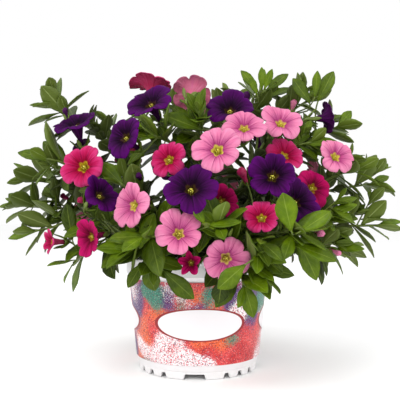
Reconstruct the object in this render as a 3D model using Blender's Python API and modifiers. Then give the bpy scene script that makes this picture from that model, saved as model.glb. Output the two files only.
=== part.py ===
"""A calibrachoa in its nursery pot: white pot, printed sleeve, soil, leafy stems and trumpet blooms.

The origin is the centre of the pot's base, +Z is up, and -Y is the front.
"""

import math
import random

import bmesh
import bpy
from mathutils import Quaternion, Vector
from mathutils.bvhtree import BVHTree
from mathutils.geometry import interpolate_bezier

MM = 0.001
GAP = 0.3 * MM
UP = Vector((0, 0, 1))

# Pot: a 10.5 cm nursery pot with a banded rim and a notched foot
POT_HEIGHT = 78 * MM
RIM_RADIUS = 52.5 * MM
RIM_BAND = 11 * MM
SHOULDER = 66.4 * MM
WALL_TOP_RADIUS = 49.1 * MM
WALL_FOOT_RADIUS = 43.5 * MM
BASE_RADIUS = 42.4 * MM
WALL = 1.1 * MM
FOOT_BAND = 5.4 * MM
FLOOR_UNDER = 3.8 * MM
FLOOR_TOP = 5.2 * MM
FOOT_WALL = 1.8 * MM
POT_SIDES = 32
NOTCH_HEIGHT = 3.5 * MM
NOTCHES = ((0, 14 * MM), (30, 4 * MM), (45, 4 * MM), (60, 4 * MM))
NOTCH_TURN = -3
DRAIN_HOLES = 4
DRAIN_RADIUS = 3.5 * MM
DRAIN_CIRCLE = 24 * MM

# Printed sleeve round the wall of the pot
SLEEVE_BOTTOM = 9.5 * MM
SLEEVE_TOP = 64 * MM
SLEEVE_THICKNESS = 0.6 * MM

# Soil
SOIL_TOP = 65 * MM
SOIL_MOUND = 1.5 * MM

# Stems
HOLE_DEPTH = 8 * MM
HOLE_RADIUS = 2.15 * MM
STEM_RADIUS = 1.4 * MM
SHOOT_RADIUS = 0.8 * MM
PEDICEL_RADIUS = 0.6 * MM
STEM_POINTS = 7
FORK = 0.5
HANG_BELOW = 95 * MM

# Leaves
BLADE_THICKNESS = 0.72 * MM
BLADE_ROOM = 0.45 * MM
LEAF_LENGTH = 28 * MM
LEAF_WIDTH_SHARE = 0.46
LEAF_STEPS = tuple(s * MM for s in (1, 4, 8, 13, 19, 26))
LEAVES_ON_MAIN = 6
LEAVES_ON_SIDE = 5
GOLDEN_ANGLE = math.radians(137.5)
CLEAR_OF_OWN = 0.16
TRIES = 8

# Blooms
LOBES = 5
BLOOM_SIDES = 15
PETAL_THICKNESS = 0.7 * MM
WAVE = 0.025
TUBE_SHARE = 0.58
TUBE_RADIUS = 1.6 * MM
CALYX_LENGTH = 4 * MM
CALYX_RADIUS = 2.2 * MM

# Leafy stems: where each stands in the soil, then the tips of its main shoot and its side shoot, in millimetres
STEMS = {
    "left_low": ((-28, 4), (-132, 4, 116), (-114, -22, 97)),
    "left_mid": ((-22, 9), (-128, 14, 136), (-104, -30, 147)),
    "left_high": ((-18, -1), (-108, 0, 188), (-66, 10, 178)),
    "left_front": ((-25, -14), (-80, -52, 77), (-64, -62, 106)),
    "front_left": ((-10, -27), (-31, -97, 95), (-50, -60, 128)),
    "front_mid": ((6, -30), (27, -88, 66), (11, -98, 101)),
    "front_right": ((15, -25), (34, -95, 86), (61, -84, 98)),
    "right_front": ((25, -12), (92, -42, 85), (84, -62, 108)),
    "right_low": ((28, -3), (130, -10, 101), (114, 26, 84)),
    "right_mid": ((23, 4), (130, 6, 132), (113, -20, 140)),
    "right_high": ((17, -3), (104, 0, 174), (78, -30, 158)),
    "top_right": ((14, 4), (84, 10, 196), (47, 12, 202)),
    "top_front": ((0, -13), (0, -54, 174), (-28, -60, 158)),
    "back_left": ((-18, 15), (-84, 72, 132), (-58, 90, 92)),
    "back_mid": ((-3, 23), (-12, 97, 122), (8, 78, 160)),
    "back_right": ((14, 18), (62, 84, 128), (96, 62, 98)),
    "back_high": ((5, 8), (26, 38, 200), (-40, 44, 188)),
}

# Blooms: colour, centre of the face in mm, width in mm, where it faces, as degrees to the right
# of the front and degrees above the horizon, and how many degrees its lobes are turned
BLOOMS = (
    ("rose", (-73, -66, 139), 31, -12, 14, 31),
    ("purple", (-85, -30, 174), 34, -20, 58, 62),
    ("purple", (-33, -48, 184), 33, -28, 38, 21),
    ("rose", (-33, -10, 205), 33, 160, 76, 52),
    ("blush", (-3, -22, 193), 30, 165, 24, 11),
    ("purple", (21, -50, 180), 34, 0, 42, 42),
    ("blush", (28, -76, 163), 28, -2, 34, 14),
    ("blush", (54, -58, 169), 29, 12, 34, 45),
    ("blush", (11, -95, 146), 30, -4, 16, 4),
    ("purple", (-47, -72, 157), 29, -34, 24, 22),
    ("rose", (-19, -78, 142), 26, -22, 18, 66),
    ("purple", (-4, -101, 124), 32, 0, 30, 25),
    ("purple", (43, -92, 131), 30, -6, 16, 43),
    ("purple", (62, -72, 116), 31, 22, 8, 2),
    ("magenta", (76, -54, 126), 28, 28, 12, 33),
    ("rose", (57, -56, 148), 26, 24, 30, 64),
    ("blush", (92, -48, 148), 29, 18, 22, 49),
    ("purple", (94, -14, 178), 24, 96, 6, 54),
    ("purple", (-56, -80, 121), 27, 52, 30, 13),
    ("blush", (-40, -94, 113), 29, -42, 4, 44),
    ("magenta", (-66, -80, 94), 23, -40, -8, 3),
    ("rose", (-94, -60, 91), 18, -52, 2, 34),
    ("blush", (-10, -104, 98), 28, 10, 18, 10),
    ("magenta", (15, -78, 116), 24, 14, 2, 63),
    ("rose", (36, -95, 107), 23, -8, 26, 55),
    ("blush", (16, -100, 82), 28, 2, -8, 27),
    ("magenta", (-5, -94, 80), 16, -24, 4, 58),
    ("purple", (-98, 34, 158), 30, -98, 24, 4),
    ("rose", (-60, 66, 160), 29, -140, 30, 35),
    ("blush", (-96, 48, 106), 29, -118, 8, 7),
    ("purple", (-26, 80, 154), 31, 170, 26, 25),
    ("blush", (26, 86, 140), 29, 168, 18, 56),
    ("rose", (-34, 94, 104), 28, -164, 6, 15),
    ("magenta", (40, 92, 100), 28, 156, 4, 46),
    ("purple", (60, 54, 172), 31, 138, 36, 5),
    ("blush", (98, 40, 142), 29, 112, 18, 36),
    ("rose", (92, 44, 106), 27, 118, 4, 67),
    ("blush", (-4, 30, 208), 30, 150, 66, 26),
)

COLOURS = {
    "pot_plastic": (0.86, 0.86, 0.87, 1),
    "sleeve_print": (0.84, 0.22, 0.2, 1),
    "soil": (0.06, 0.04, 0.03, 1),
    "foliage": (0.16, 0.28, 0.03, 1),
    "rose": (0.78, 0.08, 0.28, 1),
    "purple": (0.11, 0.004, 0.2, 1),
    "blush": (0.86, 0.3, 0.48, 1),
    "magenta": (0.6, 0.01, 0.18, 1),
}
ROUGHNESS = {"pot_plastic": 0.35, "sleeve_print": 0.4, "soil": 0.95}
PETAL_ROUGHNESS = 0.6


class Shoot:
    """One leafy shoot: the points of its line, its radius at both ends and the stem that it belongs to."""

    def __init__(self, stem, number, points, thick):
        self.stem = stem
        self.number = number
        self.points = points
        self.thick = thick
        self.thin = SHOOT_RADIUS

    def back_from_tip(self, distance):
        """The point that far from the tip, and the direction towards the tip there."""
        for after, before in zip(self.points[:0:-1], self.points[-2::-1]):
            step = after - before
            if distance <= step.length:
                return after - step.normalized() * distance, step.normalized()
            distance -= step.length
        return self.points[0].copy(), (self.points[1] - self.points[0]).normalized()


class Bloom:
    """One bloom: the centre of its face, its facing direction, its width and the foot of its tube."""

    def __init__(self, number, colour, centre, width, turn, rise, spin):
        self.name = f"bloom_{number:02d}_{colour}"
        self.colour = colour
        self.centre = Vector(centre) * MM
        self.width = width * MM
        turn, rise = math.radians(turn), math.radians(rise)
        self.facing = Vector(
            (math.sin(turn) * math.cos(rise), -math.cos(turn) * math.cos(rise), math.sin(rise))
        )
        self.depth = self.width * TUBE_SHARE
        self.foot = self.centre - self.facing * self.depth
        self.calyx_top = self.foot - self.facing * GAP
        self.calyx_foot = self.calyx_top - self.facing * CALYX_LENGTH
        self.turn = self.facing.to_track_quat("Z", "Y") @ Quaternion((0, 0, 1), math.radians(spin))


class Leaf:
    """One leaf: its root, the direction it sets out in, the way its upper face looks, and its size."""

    def __init__(self, root, along, face, length, droop):
        self.root = root
        self.along = along
        self.face = face
        self.side = along.cross(face)
        self.length = length
        self.width = length * LEAF_WIDTH_SHARE
        self.droop = droop

    def half_width(self, u):
        """Half the blade's width at the share u of its length: a narrow foot and a broad blunt end."""
        return 0.5 * self.width * math.sin(math.pi * u**1.5) ** 0.7 if 0 < u < 1 else 0.0

    def point(self, u, v, margin=0.0):
        """The point at the share u of the length, and v from -1 to 1 across."""
        across = v * (self.half_width(u) + margin)
        sag = self.droop * self.length * u * u
        return self.root + self.along * (u * self.length) - self.face * sag + self.side * across

    @property
    def tip(self):
        return self.point(1, 0)


def bezier(start, start_handle, end_handle, end, count):
    return interpolate_bezier(start, start_handle, end_handle, end, count)


def main_shoot(stem, foot, tip):
    """From its hole in the soil straight up, then over in an arch to the tip."""
    start = Vector((*foot, SOIL_TOP + 4 * MM))
    chord = tip - start
    outward = Vector((chord.x, chord.y, 0))
    start_handle = start + UP * 0.42 * chord.length + outward * 0.12
    hang = max(0.0, HANG_BELOW - tip.z)
    end_handle = tip - outward * 0.38 + UP * (1.2 * hang - 0.1 * max(0.0, chord.z))
    arch = bezier(start, start_handle, end_handle, tip, STEM_POINTS)
    ground = Vector((*foot, SOIL_TOP + SOIL_MOUND - HOLE_DEPTH + GAP))
    return Shoot(stem, 0, [ground, *arch], STEM_RADIUS)


def side_shoot(stem, parent, tip):
    """From the fork of the main shoot to its own tip."""
    at = round(FORK * (len(parent.points) - 1))
    start = parent.points[at]
    heading = (parent.points[at + 1] - parent.points[at - 1]).normalized()
    chord = tip - start
    outward = Vector((tip.x, tip.y, 0)).normalized()
    start_handle = start + heading * 0.35 * chord.length
    end_handle = tip - outward * 0.3 * chord.length
    points = bezier(start, start_handle, end_handle, tip, STEM_POINTS - 2)
    return Shoot(stem, 1, points, SHOOT_RADIUS * 1.15)


def grow_shoots():
    shoots = []
    for stem, (foot, tip, side_tip) in STEMS.items():
        main = main_shoot(stem, Vector(foot) * MM, Vector(tip) * MM)
        shoots += [main, side_shoot(stem, main, Vector(side_tip) * MM)]
    return shoots


def pedicel_points(shoot, back, bloom):
    """The line of a flower stalk, from the shoot into the calyx."""
    start, heading = shoot.back_from_tip(back)
    reach = (bloom.calyx_foot - start).length
    start_handle = start + heading * 0.3 * reach
    end_handle = bloom.calyx_foot - bloom.facing * 0.35 * reach
    return bezier(start, start_handle, end_handle, bloom.calyx_foot, 4)


def near_bloom(point, bloom, room):
    """True if the point lies in the bloom's trumpet or nearer than room to it."""
    along = (point - bloom.foot).dot(bloom.facing)
    if not -CALYX_LENGTH - room < along < bloom.depth + 2 * room:
        return False
    off = (point - bloom.foot - bloom.facing * along).length
    flare = max(0.0, along / bloom.depth - 0.45) / 0.55
    return off < TUBE_RADIUS + 2 * MM + flare * bloom.width * 0.5 + room


def line_samples(points, step=2 * MM):
    """Points along the line, closer together than step."""
    found = []
    for before, after in zip(points, points[1:]):
        pieces = max(1, math.ceil((after - before).length / step))
        found += [before.lerp(after, k / pieces) for k in range(pieces)]
    return found + [points[-1]]


def choose_pedicels(shoots, blooms):
    """For each bloom the shortest stalk to a shoot that passes clear of everything else."""
    lines = [(shoot, line_samples(shoot.points)) for shoot in shoots]
    chosen = []
    for bloom in blooms:
        options = []
        for shoot in shoots:
            length = sum((b - a).length for a, b in zip(shoot.points, shoot.points[1:]))
            for share in range(2, 14):
                back = length * share / 20
                points = pedicel_points(shoot, back, bloom)
                run = sum((b - a).length for a, b in zip(points, points[1:]))
                options.append((run, shoot.stem, shoot.number, share, shoot, points))
        options.sort(key=lambda option: option[:4])
        chosen.append(next((o[4:] for o in options if pedicel_clear(o, bloom, blooms, lines, chosen)), None))
        if chosen[-1] is None:
            print("no clear stalk for", bloom.name)
            chosen[-1] = options[0][4:]
    return chosen


def pedicel_clear(option, bloom, blooms, lines, chosen):
    room = 1.2 * MM
    shoot, points = option[4:]
    samples = line_samples(points)
    free = samples[2:]
    for other in blooms:
        if other is not bloom and any(near_bloom(p, other, room) for p in samples):
            return False
    for line_shoot, line in lines:
        if line_shoot.stem == shoot.stem:
            continue
        if any((p - q).length < 3.2 * MM for p in free for q in line):
            return False
    for other_shoot, other_points in filter(None, chosen):
        if other_shoot.stem == shoot.stem:
            continue
        if any((p - q).length < 3 * MM for p in free for q in line_samples(other_points)):
            return False
    return True


def leaf_tries(shoot, number):
    """The ways this leaf may stand, best first: turned, then shorter, round its place on the shoot."""
    draw = random.Random(f"{shoot.stem} {shoot.number} {number}")
    root, axis = shoot.back_from_tip(LEAF_STEPS[number])
    first = axis.orthogonal().normalized()
    second = axis.cross(first)
    roll = draw.uniform(0, 0.6) + shoot.number + number * GOLDEN_ANGLE
    lean = math.radians(22 + 8.5 * number + draw.uniform(-6, 6))
    grown = min(1.0, 0.6 + 0.15 * number) * draw.uniform(0.92, 1.12)
    droop = draw.uniform(0.06, 0.26)
    for attempt in range(TRIES):
        swing = roll + (-1) ** attempt * math.ceil(attempt / 2) * math.radians(24)
        away = first * math.cos(swing) + second * math.sin(swing)
        along = (axis * math.cos(lean) + away * math.sin(lean)).normalized()
        outward = Vector((root.x, root.y, 0)).normalized()
        light = (UP + outward * 0.7).normalized()
        inner = axis - along * axis.dot(along)
        upper = light - along * light.dot(along)
        face = (inner.normalized() * 0.6 + upper.normalized()).normalized()
        face = (face - along * face.dot(along)).normalized()
        length = LEAF_LENGTH * grown * (1 - 0.06 * attempt)
        yield Leaf(root, along, face, length, droop)


def blade_mesh(leaf, room=0.0, start=0.0):
    """The blade as a closed solid. With room it is that much bigger all round, for testing clearance."""
    shape = bmesh.new()
    bmesh.ops.create_grid(shape, x_segments=3, y_segments=1, size=0.5)
    stations = (start, 0.46, 0.82, 1.0 + room / leaf.length)
    for vert in shape.verts:
        station = stations[round((vert.co.x + 0.5) * 3)]
        vert.co = leaf.point(station, vert.co.y * 2, room) + leaf.face * room
    if room == 0.0:
        bmesh.ops.remove_doubles(shape, verts=shape.verts, dist=0.01 * MM)
    under = bmesh.ops.extrude_face_region(shape, geom=shape.faces[:])["geom"]
    moved = [item for item in under if isinstance(item, bmesh.types.BMVert)]
    bmesh.ops.translate(shape, verts=moved, vec=-leaf.face * (BLADE_THICKNESS + 2 * room))
    bmesh.ops.recalc_face_normals(shape, faces=shape.faces)
    return shape


def blade_tree(leaf, room=0.0, start=0.0):
    shape = blade_mesh(leaf, room, start)
    tree = BVHTree.FromBMesh(shape)
    shape.free()
    return tree


def tree_of(obj):
    """The evaluated object's triangles in world space, for overlap tests."""
    graph = bpy.context.evaluated_depsgraph_get()
    mesh = obj.evaluated_get(graph).to_mesh()
    mesh.transform(obj.matrix_world)
    shape = bmesh.new()
    shape.from_mesh(mesh)
    tree = BVHTree.FromBMesh(shape)
    shape.free()
    obj.evaluated_get(graph).to_mesh_clear()
    return tree


def place_leaves(shoots, taken):
    """Leaves for every stem, from the tips inwards. taken maps each piece to what the others keep clear of."""
    leaves = {stem: [] for stem in STEMS}
    own = {stem: list(taken[stem]) for stem in STEMS}
    for number in range(LEAVES_ON_MAIN):
        for shoot in shoots:
            if shoot.number > 0 and number >= LEAVES_ON_SIDE:
                continue
            others = [tree for piece, trees in taken.items() if piece != shoot.stem for tree in trees]
            for leaf in leaf_tries(shoot, number):
                outer = blade_tree(leaf, start=CLEAR_OF_OWN)
                if any(map(outer.overlap, own[shoot.stem])):
                    continue
                if any(map(blade_tree(leaf, BLADE_ROOM).overlap, others)):
                    continue
                own[shoot.stem].append(outer)
                taken[shoot.stem].append(blade_tree(leaf))
                leaves[shoot.stem].append(leaf)
                break
    return leaves


def new_object(name, mesh, home):
    obj = bpy.data.objects.new(name, mesh)
    home.objects.link(obj)
    return obj


def mesh_from(shape, name):
    mesh = bpy.data.meshes.new(name)
    shape.to_mesh(mesh)
    shape.free()
    return mesh


def baked(obj):
    """The object's modifiers applied: its mesh becomes what the viewport shows."""
    bpy.context.view_layer.update()
    graph = bpy.context.evaluated_depsgraph_get()
    mesh = bpy.data.meshes.new_from_object(obj.evaluated_get(graph))
    obj.modifiers.clear()
    obj.data = mesh
    return obj


def tube(name, points, radii, home):
    """A four-sided stalk along the points, as a closed mesh."""
    curve = bpy.data.curves.new(name, "CURVE")
    curve.dimensions = "3D"
    curve.bevel_depth = 1
    curve.bevel_resolution = 0
    curve.use_fill_caps = True
    spline = curve.splines.new("POLY")
    spline.points.add(len(points) - 1)
    for knot, point, radius in zip(spline.points, points, radii):
        knot.co = (*point, 1)
        knot.radius = radius
    guide = new_object(name, curve, home)
    bpy.context.view_layer.update()
    graph = bpy.context.evaluated_depsgraph_get()
    mesh = bpy.data.meshes.new_from_object(guide.evaluated_get(graph))
    bpy.data.objects.remove(guide)
    shape = bmesh.new()
    shape.from_mesh(mesh)
    bmesh.ops.remove_doubles(shape, verts=shape.verts, dist=0.01 * MM)
    bmesh.ops.recalc_face_normals(shape, faces=shape.faces)
    return new_object(name, mesh_from(shape, name), home)


def shoot_tube(shoot, home):
    count = len(shoot.points) - 1
    radii = [shoot.thick + (shoot.thin - shoot.thick) * k / count for k in range(count + 1)]
    return tube(f"shoot_{shoot.number}", shoot.points, radii, home)


def flower_stalk(bloom, points, home):
    """The stalk and, at its end, the green cup that the bloom's tube stands in."""
    radii = [PEDICEL_RADIUS] * len(points) + [CALYX_RADIUS]
    return tube("flower_stalk", [*points, bloom.calyx_top], radii, home)


def unite(body, repeats, solver="EXACT"):
    """One Boolean union of the body with all the objects of the collection, which are then removed."""
    join = body.modifiers.new("union", "BOOLEAN")
    join.operation = "UNION"
    join.operand_type = "COLLECTION"
    join.collection = repeats
    join.solver = solver
    baked(body)
    clear_collection(repeats)


def clear_collection(collection):
    for obj in list(collection.objects):
        bpy.data.objects.remove(obj)
    bpy.data.collections.remove(collection)


def helper_collection(name):
    collection = bpy.data.collections.new(name)
    bpy.context.scene.collection.children.link(collection)
    return collection


def turned(name, profile, sides, home, is_ring=False):
    """A closed turned solid. The profile runs down its outer side, from the axis and back to it or as a ring."""
    shape = bmesh.new()
    verts = [shape.verts.new((radius, 0, height)) for radius, height in profile]
    for first, second in zip(verts, verts[1:] + verts[:1] * is_ring):
        shape.edges.new((first, second))
    solid = new_object(name, mesh_from(shape, name), home)
    screw = solid.modifiers.new("turn", "SCREW")
    screw.steps = screw.render_steps = sides
    screw.use_merge_vertices = True
    screw.merge_threshold = 0.01 * MM
    return solid


def cut(body, cutters):
    """One Boolean difference of the body with all the objects of the collection, which are then removed."""
    removal = body.modifiers.new("cut", "BOOLEAN")
    removal.operation = "DIFFERENCE"
    removal.operand_type = "COLLECTION"
    removal.collection = cutters
    baked(body)
    clear_collection(cutters)


def wall_radius(height):
    """The pot wall's outer radius at this height."""
    share = (height - SLEEVE_BOTTOM) / (SLEEVE_TOP - SLEEVE_BOTTOM)
    return WALL_FOOT_RADIUS + share * (WALL_TOP_RADIUS - WALL_FOOT_RADIUS)


def inside_radius(height):
    """The radius inside the pot at this height, from its floor to its shoulder."""
    share = (height - FLOOR_TOP) / (SHOULDER - FLOOR_TOP)
    floor_radius = BASE_RADIUS - FOOT_WALL
    return floor_radius + share * (wall_radius(SHOULDER) - WALL - floor_radius)


def make_pot(home):
    rim_foot = POT_HEIGHT - RIM_BAND
    profile = (
        (0, FLOOR_TOP),
        (inside_radius(FLOOR_TOP), FLOOR_TOP),
        (inside_radius(SHOULDER), SHOULDER),
        (RIM_RADIUS - WALL, rim_foot + 1 * MM),
        (RIM_RADIUS - WALL, POT_HEIGHT),
        (RIM_RADIUS - 0.4 * MM, POT_HEIGHT),
        (RIM_RADIUS, POT_HEIGHT - 0.6 * MM),
        (RIM_RADIUS - 0.6 * MM, rim_foot),
        (wall_radius(SHOULDER), SHOULDER),
        (wall_radius(FOOT_BAND), FOOT_BAND),
        (BASE_RADIUS, FOOT_BAND - 0.5 * MM),
        (BASE_RADIUS - 0.5 * MM, 0),
        (BASE_RADIUS - FOOT_WALL, 0),
        (BASE_RADIUS - FOOT_WALL - 0.2 * MM, FLOOR_UNDER),
        (0, FLOOR_UNDER),
    )
    pot = turned("pot", profile, POT_SIDES, home)
    cutters = helper_collection("pot_cutters")
    for quarter in range(4):
        for angle, width in NOTCHES:
            notch_cutter(math.radians(quarter * 90 + angle + NOTCH_TURN), width, cutters)
    for number in range(DRAIN_HOLES):
        drain_cutter(number * math.tau / DRAIN_HOLES, cutters)
    cut(pot, cutters)
    return pot


def notch_cutter(angle, width, cutters):
    """A block through the foot ring, which leaves a drainage notch."""
    shape = bmesh.new()
    bmesh.ops.create_cube(shape, size=1)
    bmesh.ops.scale(shape, vec=(width, 6 * MM, 2 * NOTCH_HEIGHT), verts=shape.verts)
    notch = new_object("notch", mesh_from(shape, "notch"), cutters)
    middle = BASE_RADIUS - FOOT_WALL / 2
    notch.location = (math.sin(angle) * middle, -math.cos(angle) * middle, 0)
    notch.rotation_euler.z = angle


def drain_cutter(angle, cutters):
    shape = bmesh.new()
    bmesh.ops.create_cone(
        shape, cap_ends=True, segments=8, radius1=DRAIN_RADIUS, radius2=DRAIN_RADIUS, depth=8 * MM
    )
    hole = new_object("drain", mesh_from(shape, "drain"), cutters)
    hole.location = (math.cos(angle) * DRAIN_CIRCLE, math.sin(angle) * DRAIN_CIRCLE, FLOOR_UNDER)


def make_sleeve(home):
    """The printed sleeve: a thin tapered band that a gap parts from the wall."""
    inner_top = wall_radius(SLEEVE_TOP) + GAP
    inner_foot = wall_radius(SLEEVE_BOTTOM) + GAP
    profile = (
        (inner_top, SLEEVE_TOP),
        (inner_top + SLEEVE_THICKNESS, SLEEVE_TOP),
        (inner_foot + SLEEVE_THICKNESS, SLEEVE_BOTTOM),
        (inner_foot, SLEEVE_BOTTOM),
    )
    return turned("printed_sleeve", profile, POT_SIDES, home, is_ring=True)


def make_soil(shoots, home):
    """The root ball and soil that fill the pot, with a hole for each stem."""
    profile = (
        (0, SOIL_TOP + SOIL_MOUND),
        (inside_radius(SOIL_TOP) - GAP, SOIL_TOP - SOIL_MOUND),
        (inside_radius(FLOOR_TOP) - GAP, FLOOR_TOP + GAP),
        (0, FLOOR_TOP + GAP),
    )
    soil = turned("soil", profile, POT_SIDES, home)
    cutters = helper_collection("soil_cutters")
    for shoot in shoots:
        if shoot.number == 0:
            stem_hole(shoot.points[0], cutters)
    cut(soil, cutters)
    return soil


def stem_hole(foot, cutters):
    shape = bmesh.new()
    bmesh.ops.create_cone(
        shape,
        cap_ends=True,
        segments=5,
        radius1=HOLE_RADIUS,
        radius2=HOLE_RADIUS,
        depth=2 * HOLE_DEPTH,
    )
    hole = new_object("stem_hole", mesh_from(shape, "stem_hole"), cutters)
    hole.location = (foot.x, foot.y, foot.z - GAP + HOLE_DEPTH)


def lobed(angle, shape=(0.84, 1.0, 1.0)):
    """The edge's share of the full radius at this angle: a notch between two shoulders on each lobe."""
    return shape[round(angle / math.tau * BLOOM_SIDES) % len(shape)]


def make_bloom(bloom, home):
    """A closed trumpet: the tube, the flaring underside, the lobed edge and the hollow face."""
    radius = bloom.width / 2
    shape = bmesh.new()
    tube_top = -0.28 * radius
    throat = 0.26 * radius
    bmesh.ops.create_cone(
        shape,
        cap_ends=True,
        segments=BLOOM_SIDES,
        radius1=TUBE_RADIUS,
        radius2=throat,
        depth=bloom.depth + tube_top,
    )
    bmesh.ops.translate(shape, verts=shape.verts, vec=UP * (tube_top - (bloom.depth + tube_top) / 2))
    shape.faces.ensure_lookup_table()
    cap = max(shape.faces, key=lambda face: face.calc_center_median().z)
    hollow = 0.2 * radius
    hollow_floor = -0.27 * radius + 0.6 * MM
    rings = (
        (radius, -PETAL_THICKNESS, True),
        (radius, 0, True),
        (hollow, 0, False),
    )
    for ring_radius, above_face, has_lobes in rings:
        cap = bmesh.ops.extrude_discrete_faces(shape, faces=[cap])["faces"][0]
        for vert in cap.verts:
            angle = math.atan2(vert.co.y, vert.co.x) % math.tau
            reach = ring_radius * (lobed(angle) if has_lobes else 1.0)
            face_height = hollow_floor * (radius - reach) / (radius - hollow)
            wave = WAVE * radius * math.sin(LOBES * angle) if has_lobes else 0.0
            vert.co = (reach * math.cos(angle), reach * math.sin(angle), face_height + above_face + wave)
    flower = new_object(bloom.name, mesh_from(shape, bloom.name), home)
    flower.location = bloom.centre
    flower.rotation_mode = "QUATERNION"
    flower.rotation_quaternion = bloom.turn
    return flower


def make_stems(shoots, blooms, fixed, home):
    """One object for each stem: its shoots, flower stalks, calyxes and leaves, joined in one body."""
    pedicels = choose_pedicels(shoots, blooms)
    wood = {stem: helper_collection(f"{stem}_wood") for stem in STEMS}
    for shoot in shoots:
        shoot_tube(shoot, wood[shoot.stem])
    for bloom, (shoot, points) in zip(blooms, pedicels):
        flower_stalk(bloom, points, wood[shoot.stem])
    bpy.context.view_layer.update()
    taken = {stem: [tree_of(obj) for obj in wood[stem].objects] for stem in STEMS}
    taken.update({obj.name: [tree_of(obj)] for obj in fixed})
    leaves = place_leaves(shoots, taken)
    stems = []
    for stem, parts in wood.items():
        for leaf in leaves[stem]:
            new_object("blade", mesh_from(blade_mesh(leaf), "blade"), parts)
        trunk = parts.objects["shoot_0"] if "shoot_0" in parts.objects else parts.objects[0]
        parts.objects.unlink(trunk)
        home.objects.link(trunk)
        trunk.name = f"stem_{stem}"
        unite(trunk, parts)
        stems.append(trunk)
    return stems


def paint(obj, slot):
    """The object's own material, from its slot's colour."""
    material = bpy.data.materials.new(f"{obj.name}_{slot}")
    material.use_nodes = True
    shader = material.node_tree.nodes["Principled BSDF"]
    shader.inputs["Base Color"].default_value = COLOURS[slot]
    shader.inputs["Roughness"].default_value = ROUGHNESS.get(slot, PETAL_ROUGHNESS)
    shader.inputs["Metallic"].default_value = 0.0
    obj.data.materials.clear()
    obj.data.materials.append(material)


def clear_scene():
    for obj in list(bpy.data.objects):
        bpy.data.objects.remove(obj)


def main():
    clear_scene()
    home = bpy.data.collections.new("calibrachoa")
    bpy.context.scene.collection.children.link(home)
    shoots = grow_shoots()
    blooms = [Bloom(number, *facts) for number, facts in enumerate(BLOOMS, 1)]
    pot = make_pot(home)
    sleeve = make_sleeve(home)
    soil = make_soil(shoots, home)
    flowers = [make_bloom(bloom, home) for bloom in blooms]
    bpy.context.view_layer.update()
    stems = make_stems(shoots, blooms, [pot, sleeve, soil, *flowers], home)
    paint(pot, "pot_plastic")
    paint(sleeve, "sleeve_print")
    paint(soil, "soil")
    for bloom, flower in zip(blooms, flowers):
        paint(flower, bloom.colour)
    for stem in stems:
        paint(stem, "foliage")
    pot.data.shade_smooth()
    pot.data.set_sharp_from_angle(angle=math.radians(30))


main()
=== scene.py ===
"""A calibrachoa in bloom in its printed nursery pot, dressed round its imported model."""

import math
import random

import bmesh
import bpy
from mathutils import Matrix, Quaternion, Vector, noise
from mathutils.bvhtree import BVHTree
from mathutils.geometry import interpolate_bezier
from mathutils.kdtree import KDTree


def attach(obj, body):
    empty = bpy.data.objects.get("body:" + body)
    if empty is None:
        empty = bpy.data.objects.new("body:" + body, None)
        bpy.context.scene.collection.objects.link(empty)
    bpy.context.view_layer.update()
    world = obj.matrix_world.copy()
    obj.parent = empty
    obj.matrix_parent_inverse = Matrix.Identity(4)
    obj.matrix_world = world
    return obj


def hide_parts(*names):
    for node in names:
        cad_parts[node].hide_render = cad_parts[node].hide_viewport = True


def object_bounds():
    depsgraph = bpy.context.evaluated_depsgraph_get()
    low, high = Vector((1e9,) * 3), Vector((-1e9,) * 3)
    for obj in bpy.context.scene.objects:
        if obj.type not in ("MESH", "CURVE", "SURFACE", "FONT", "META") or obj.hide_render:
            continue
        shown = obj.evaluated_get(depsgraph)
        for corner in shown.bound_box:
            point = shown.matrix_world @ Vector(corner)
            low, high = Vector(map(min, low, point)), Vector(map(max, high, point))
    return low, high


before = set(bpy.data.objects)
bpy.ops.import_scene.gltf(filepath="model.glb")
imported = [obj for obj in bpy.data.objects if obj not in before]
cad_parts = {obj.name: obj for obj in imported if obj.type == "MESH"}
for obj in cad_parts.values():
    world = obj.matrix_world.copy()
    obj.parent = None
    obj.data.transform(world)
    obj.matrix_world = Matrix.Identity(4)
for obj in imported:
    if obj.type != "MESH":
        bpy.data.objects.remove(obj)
cad_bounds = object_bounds()

MM = 0.001
GAP = 0.3 * MM
UP = Vector((0, 0, 1))
GOLDEN_ANGLE = math.radians(137.5)

# Camera: where the photograph was taken from, its focal length, its horizon and the pot's place across it
CAMERA = Vector((0, -0.42, 0.103))
PHOTO_SIZE = 400
FOCAL_PIXELS = 571.5
HORIZON_ROW = 222.5
POT_COLUMN = 198
PLANT_MIDDLE = Vector((0, 0, 0.1))

# Pot, sleeve and soil, as in the model, and how finely this script turns them. The notches of one quarter
# are given by their place in degrees and their width
POT_HEIGHT = 78 * MM
RIM_RADIUS = 52.5 * MM
RIM_BAND = 11 * MM
SHOULDER = 66.4 * MM
WALL_TOP_RADIUS = 49.1 * MM
WALL_FOOT_RADIUS = 43.5 * MM
BASE_RADIUS = 42.4 * MM
WALL = 1.1 * MM
FOOT_BAND = 5.4 * MM
FLOOR_UNDER = 3.8 * MM
FLOOR_TOP = 5.2 * MM
FOOT_WALL = 1.8 * MM
POT_SIDES = 360
NOTCH_HEIGHT = 3.5 * MM
NOTCHES = ((0, 14 * MM), (30, 4 * MM), (45, 4 * MM), (60, 4 * MM))
NOTCH_TURN = -3
NOTCH_SLANT = 1.3 * MM
DRAIN_HOLES = 4
DRAIN_RADIUS = 3.5 * MM
DRAIN_CIRCLE = 24 * MM
SLEEVE_BOTTOM = 9.5 * MM
SLEEVE_TOP = 64 * MM
SLEEVE_THICKNESS = 0.6 * MM
SLEEVE_SIDES = 128
SOIL_TOP = 65 * MM
SOIL_MOUND = 1.5 * MM
SOIL_SIDES = 96
SOIL_RINGS = 16
SOIL_CRUMBS = 300
PERLITE_EVERY = 6

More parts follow.
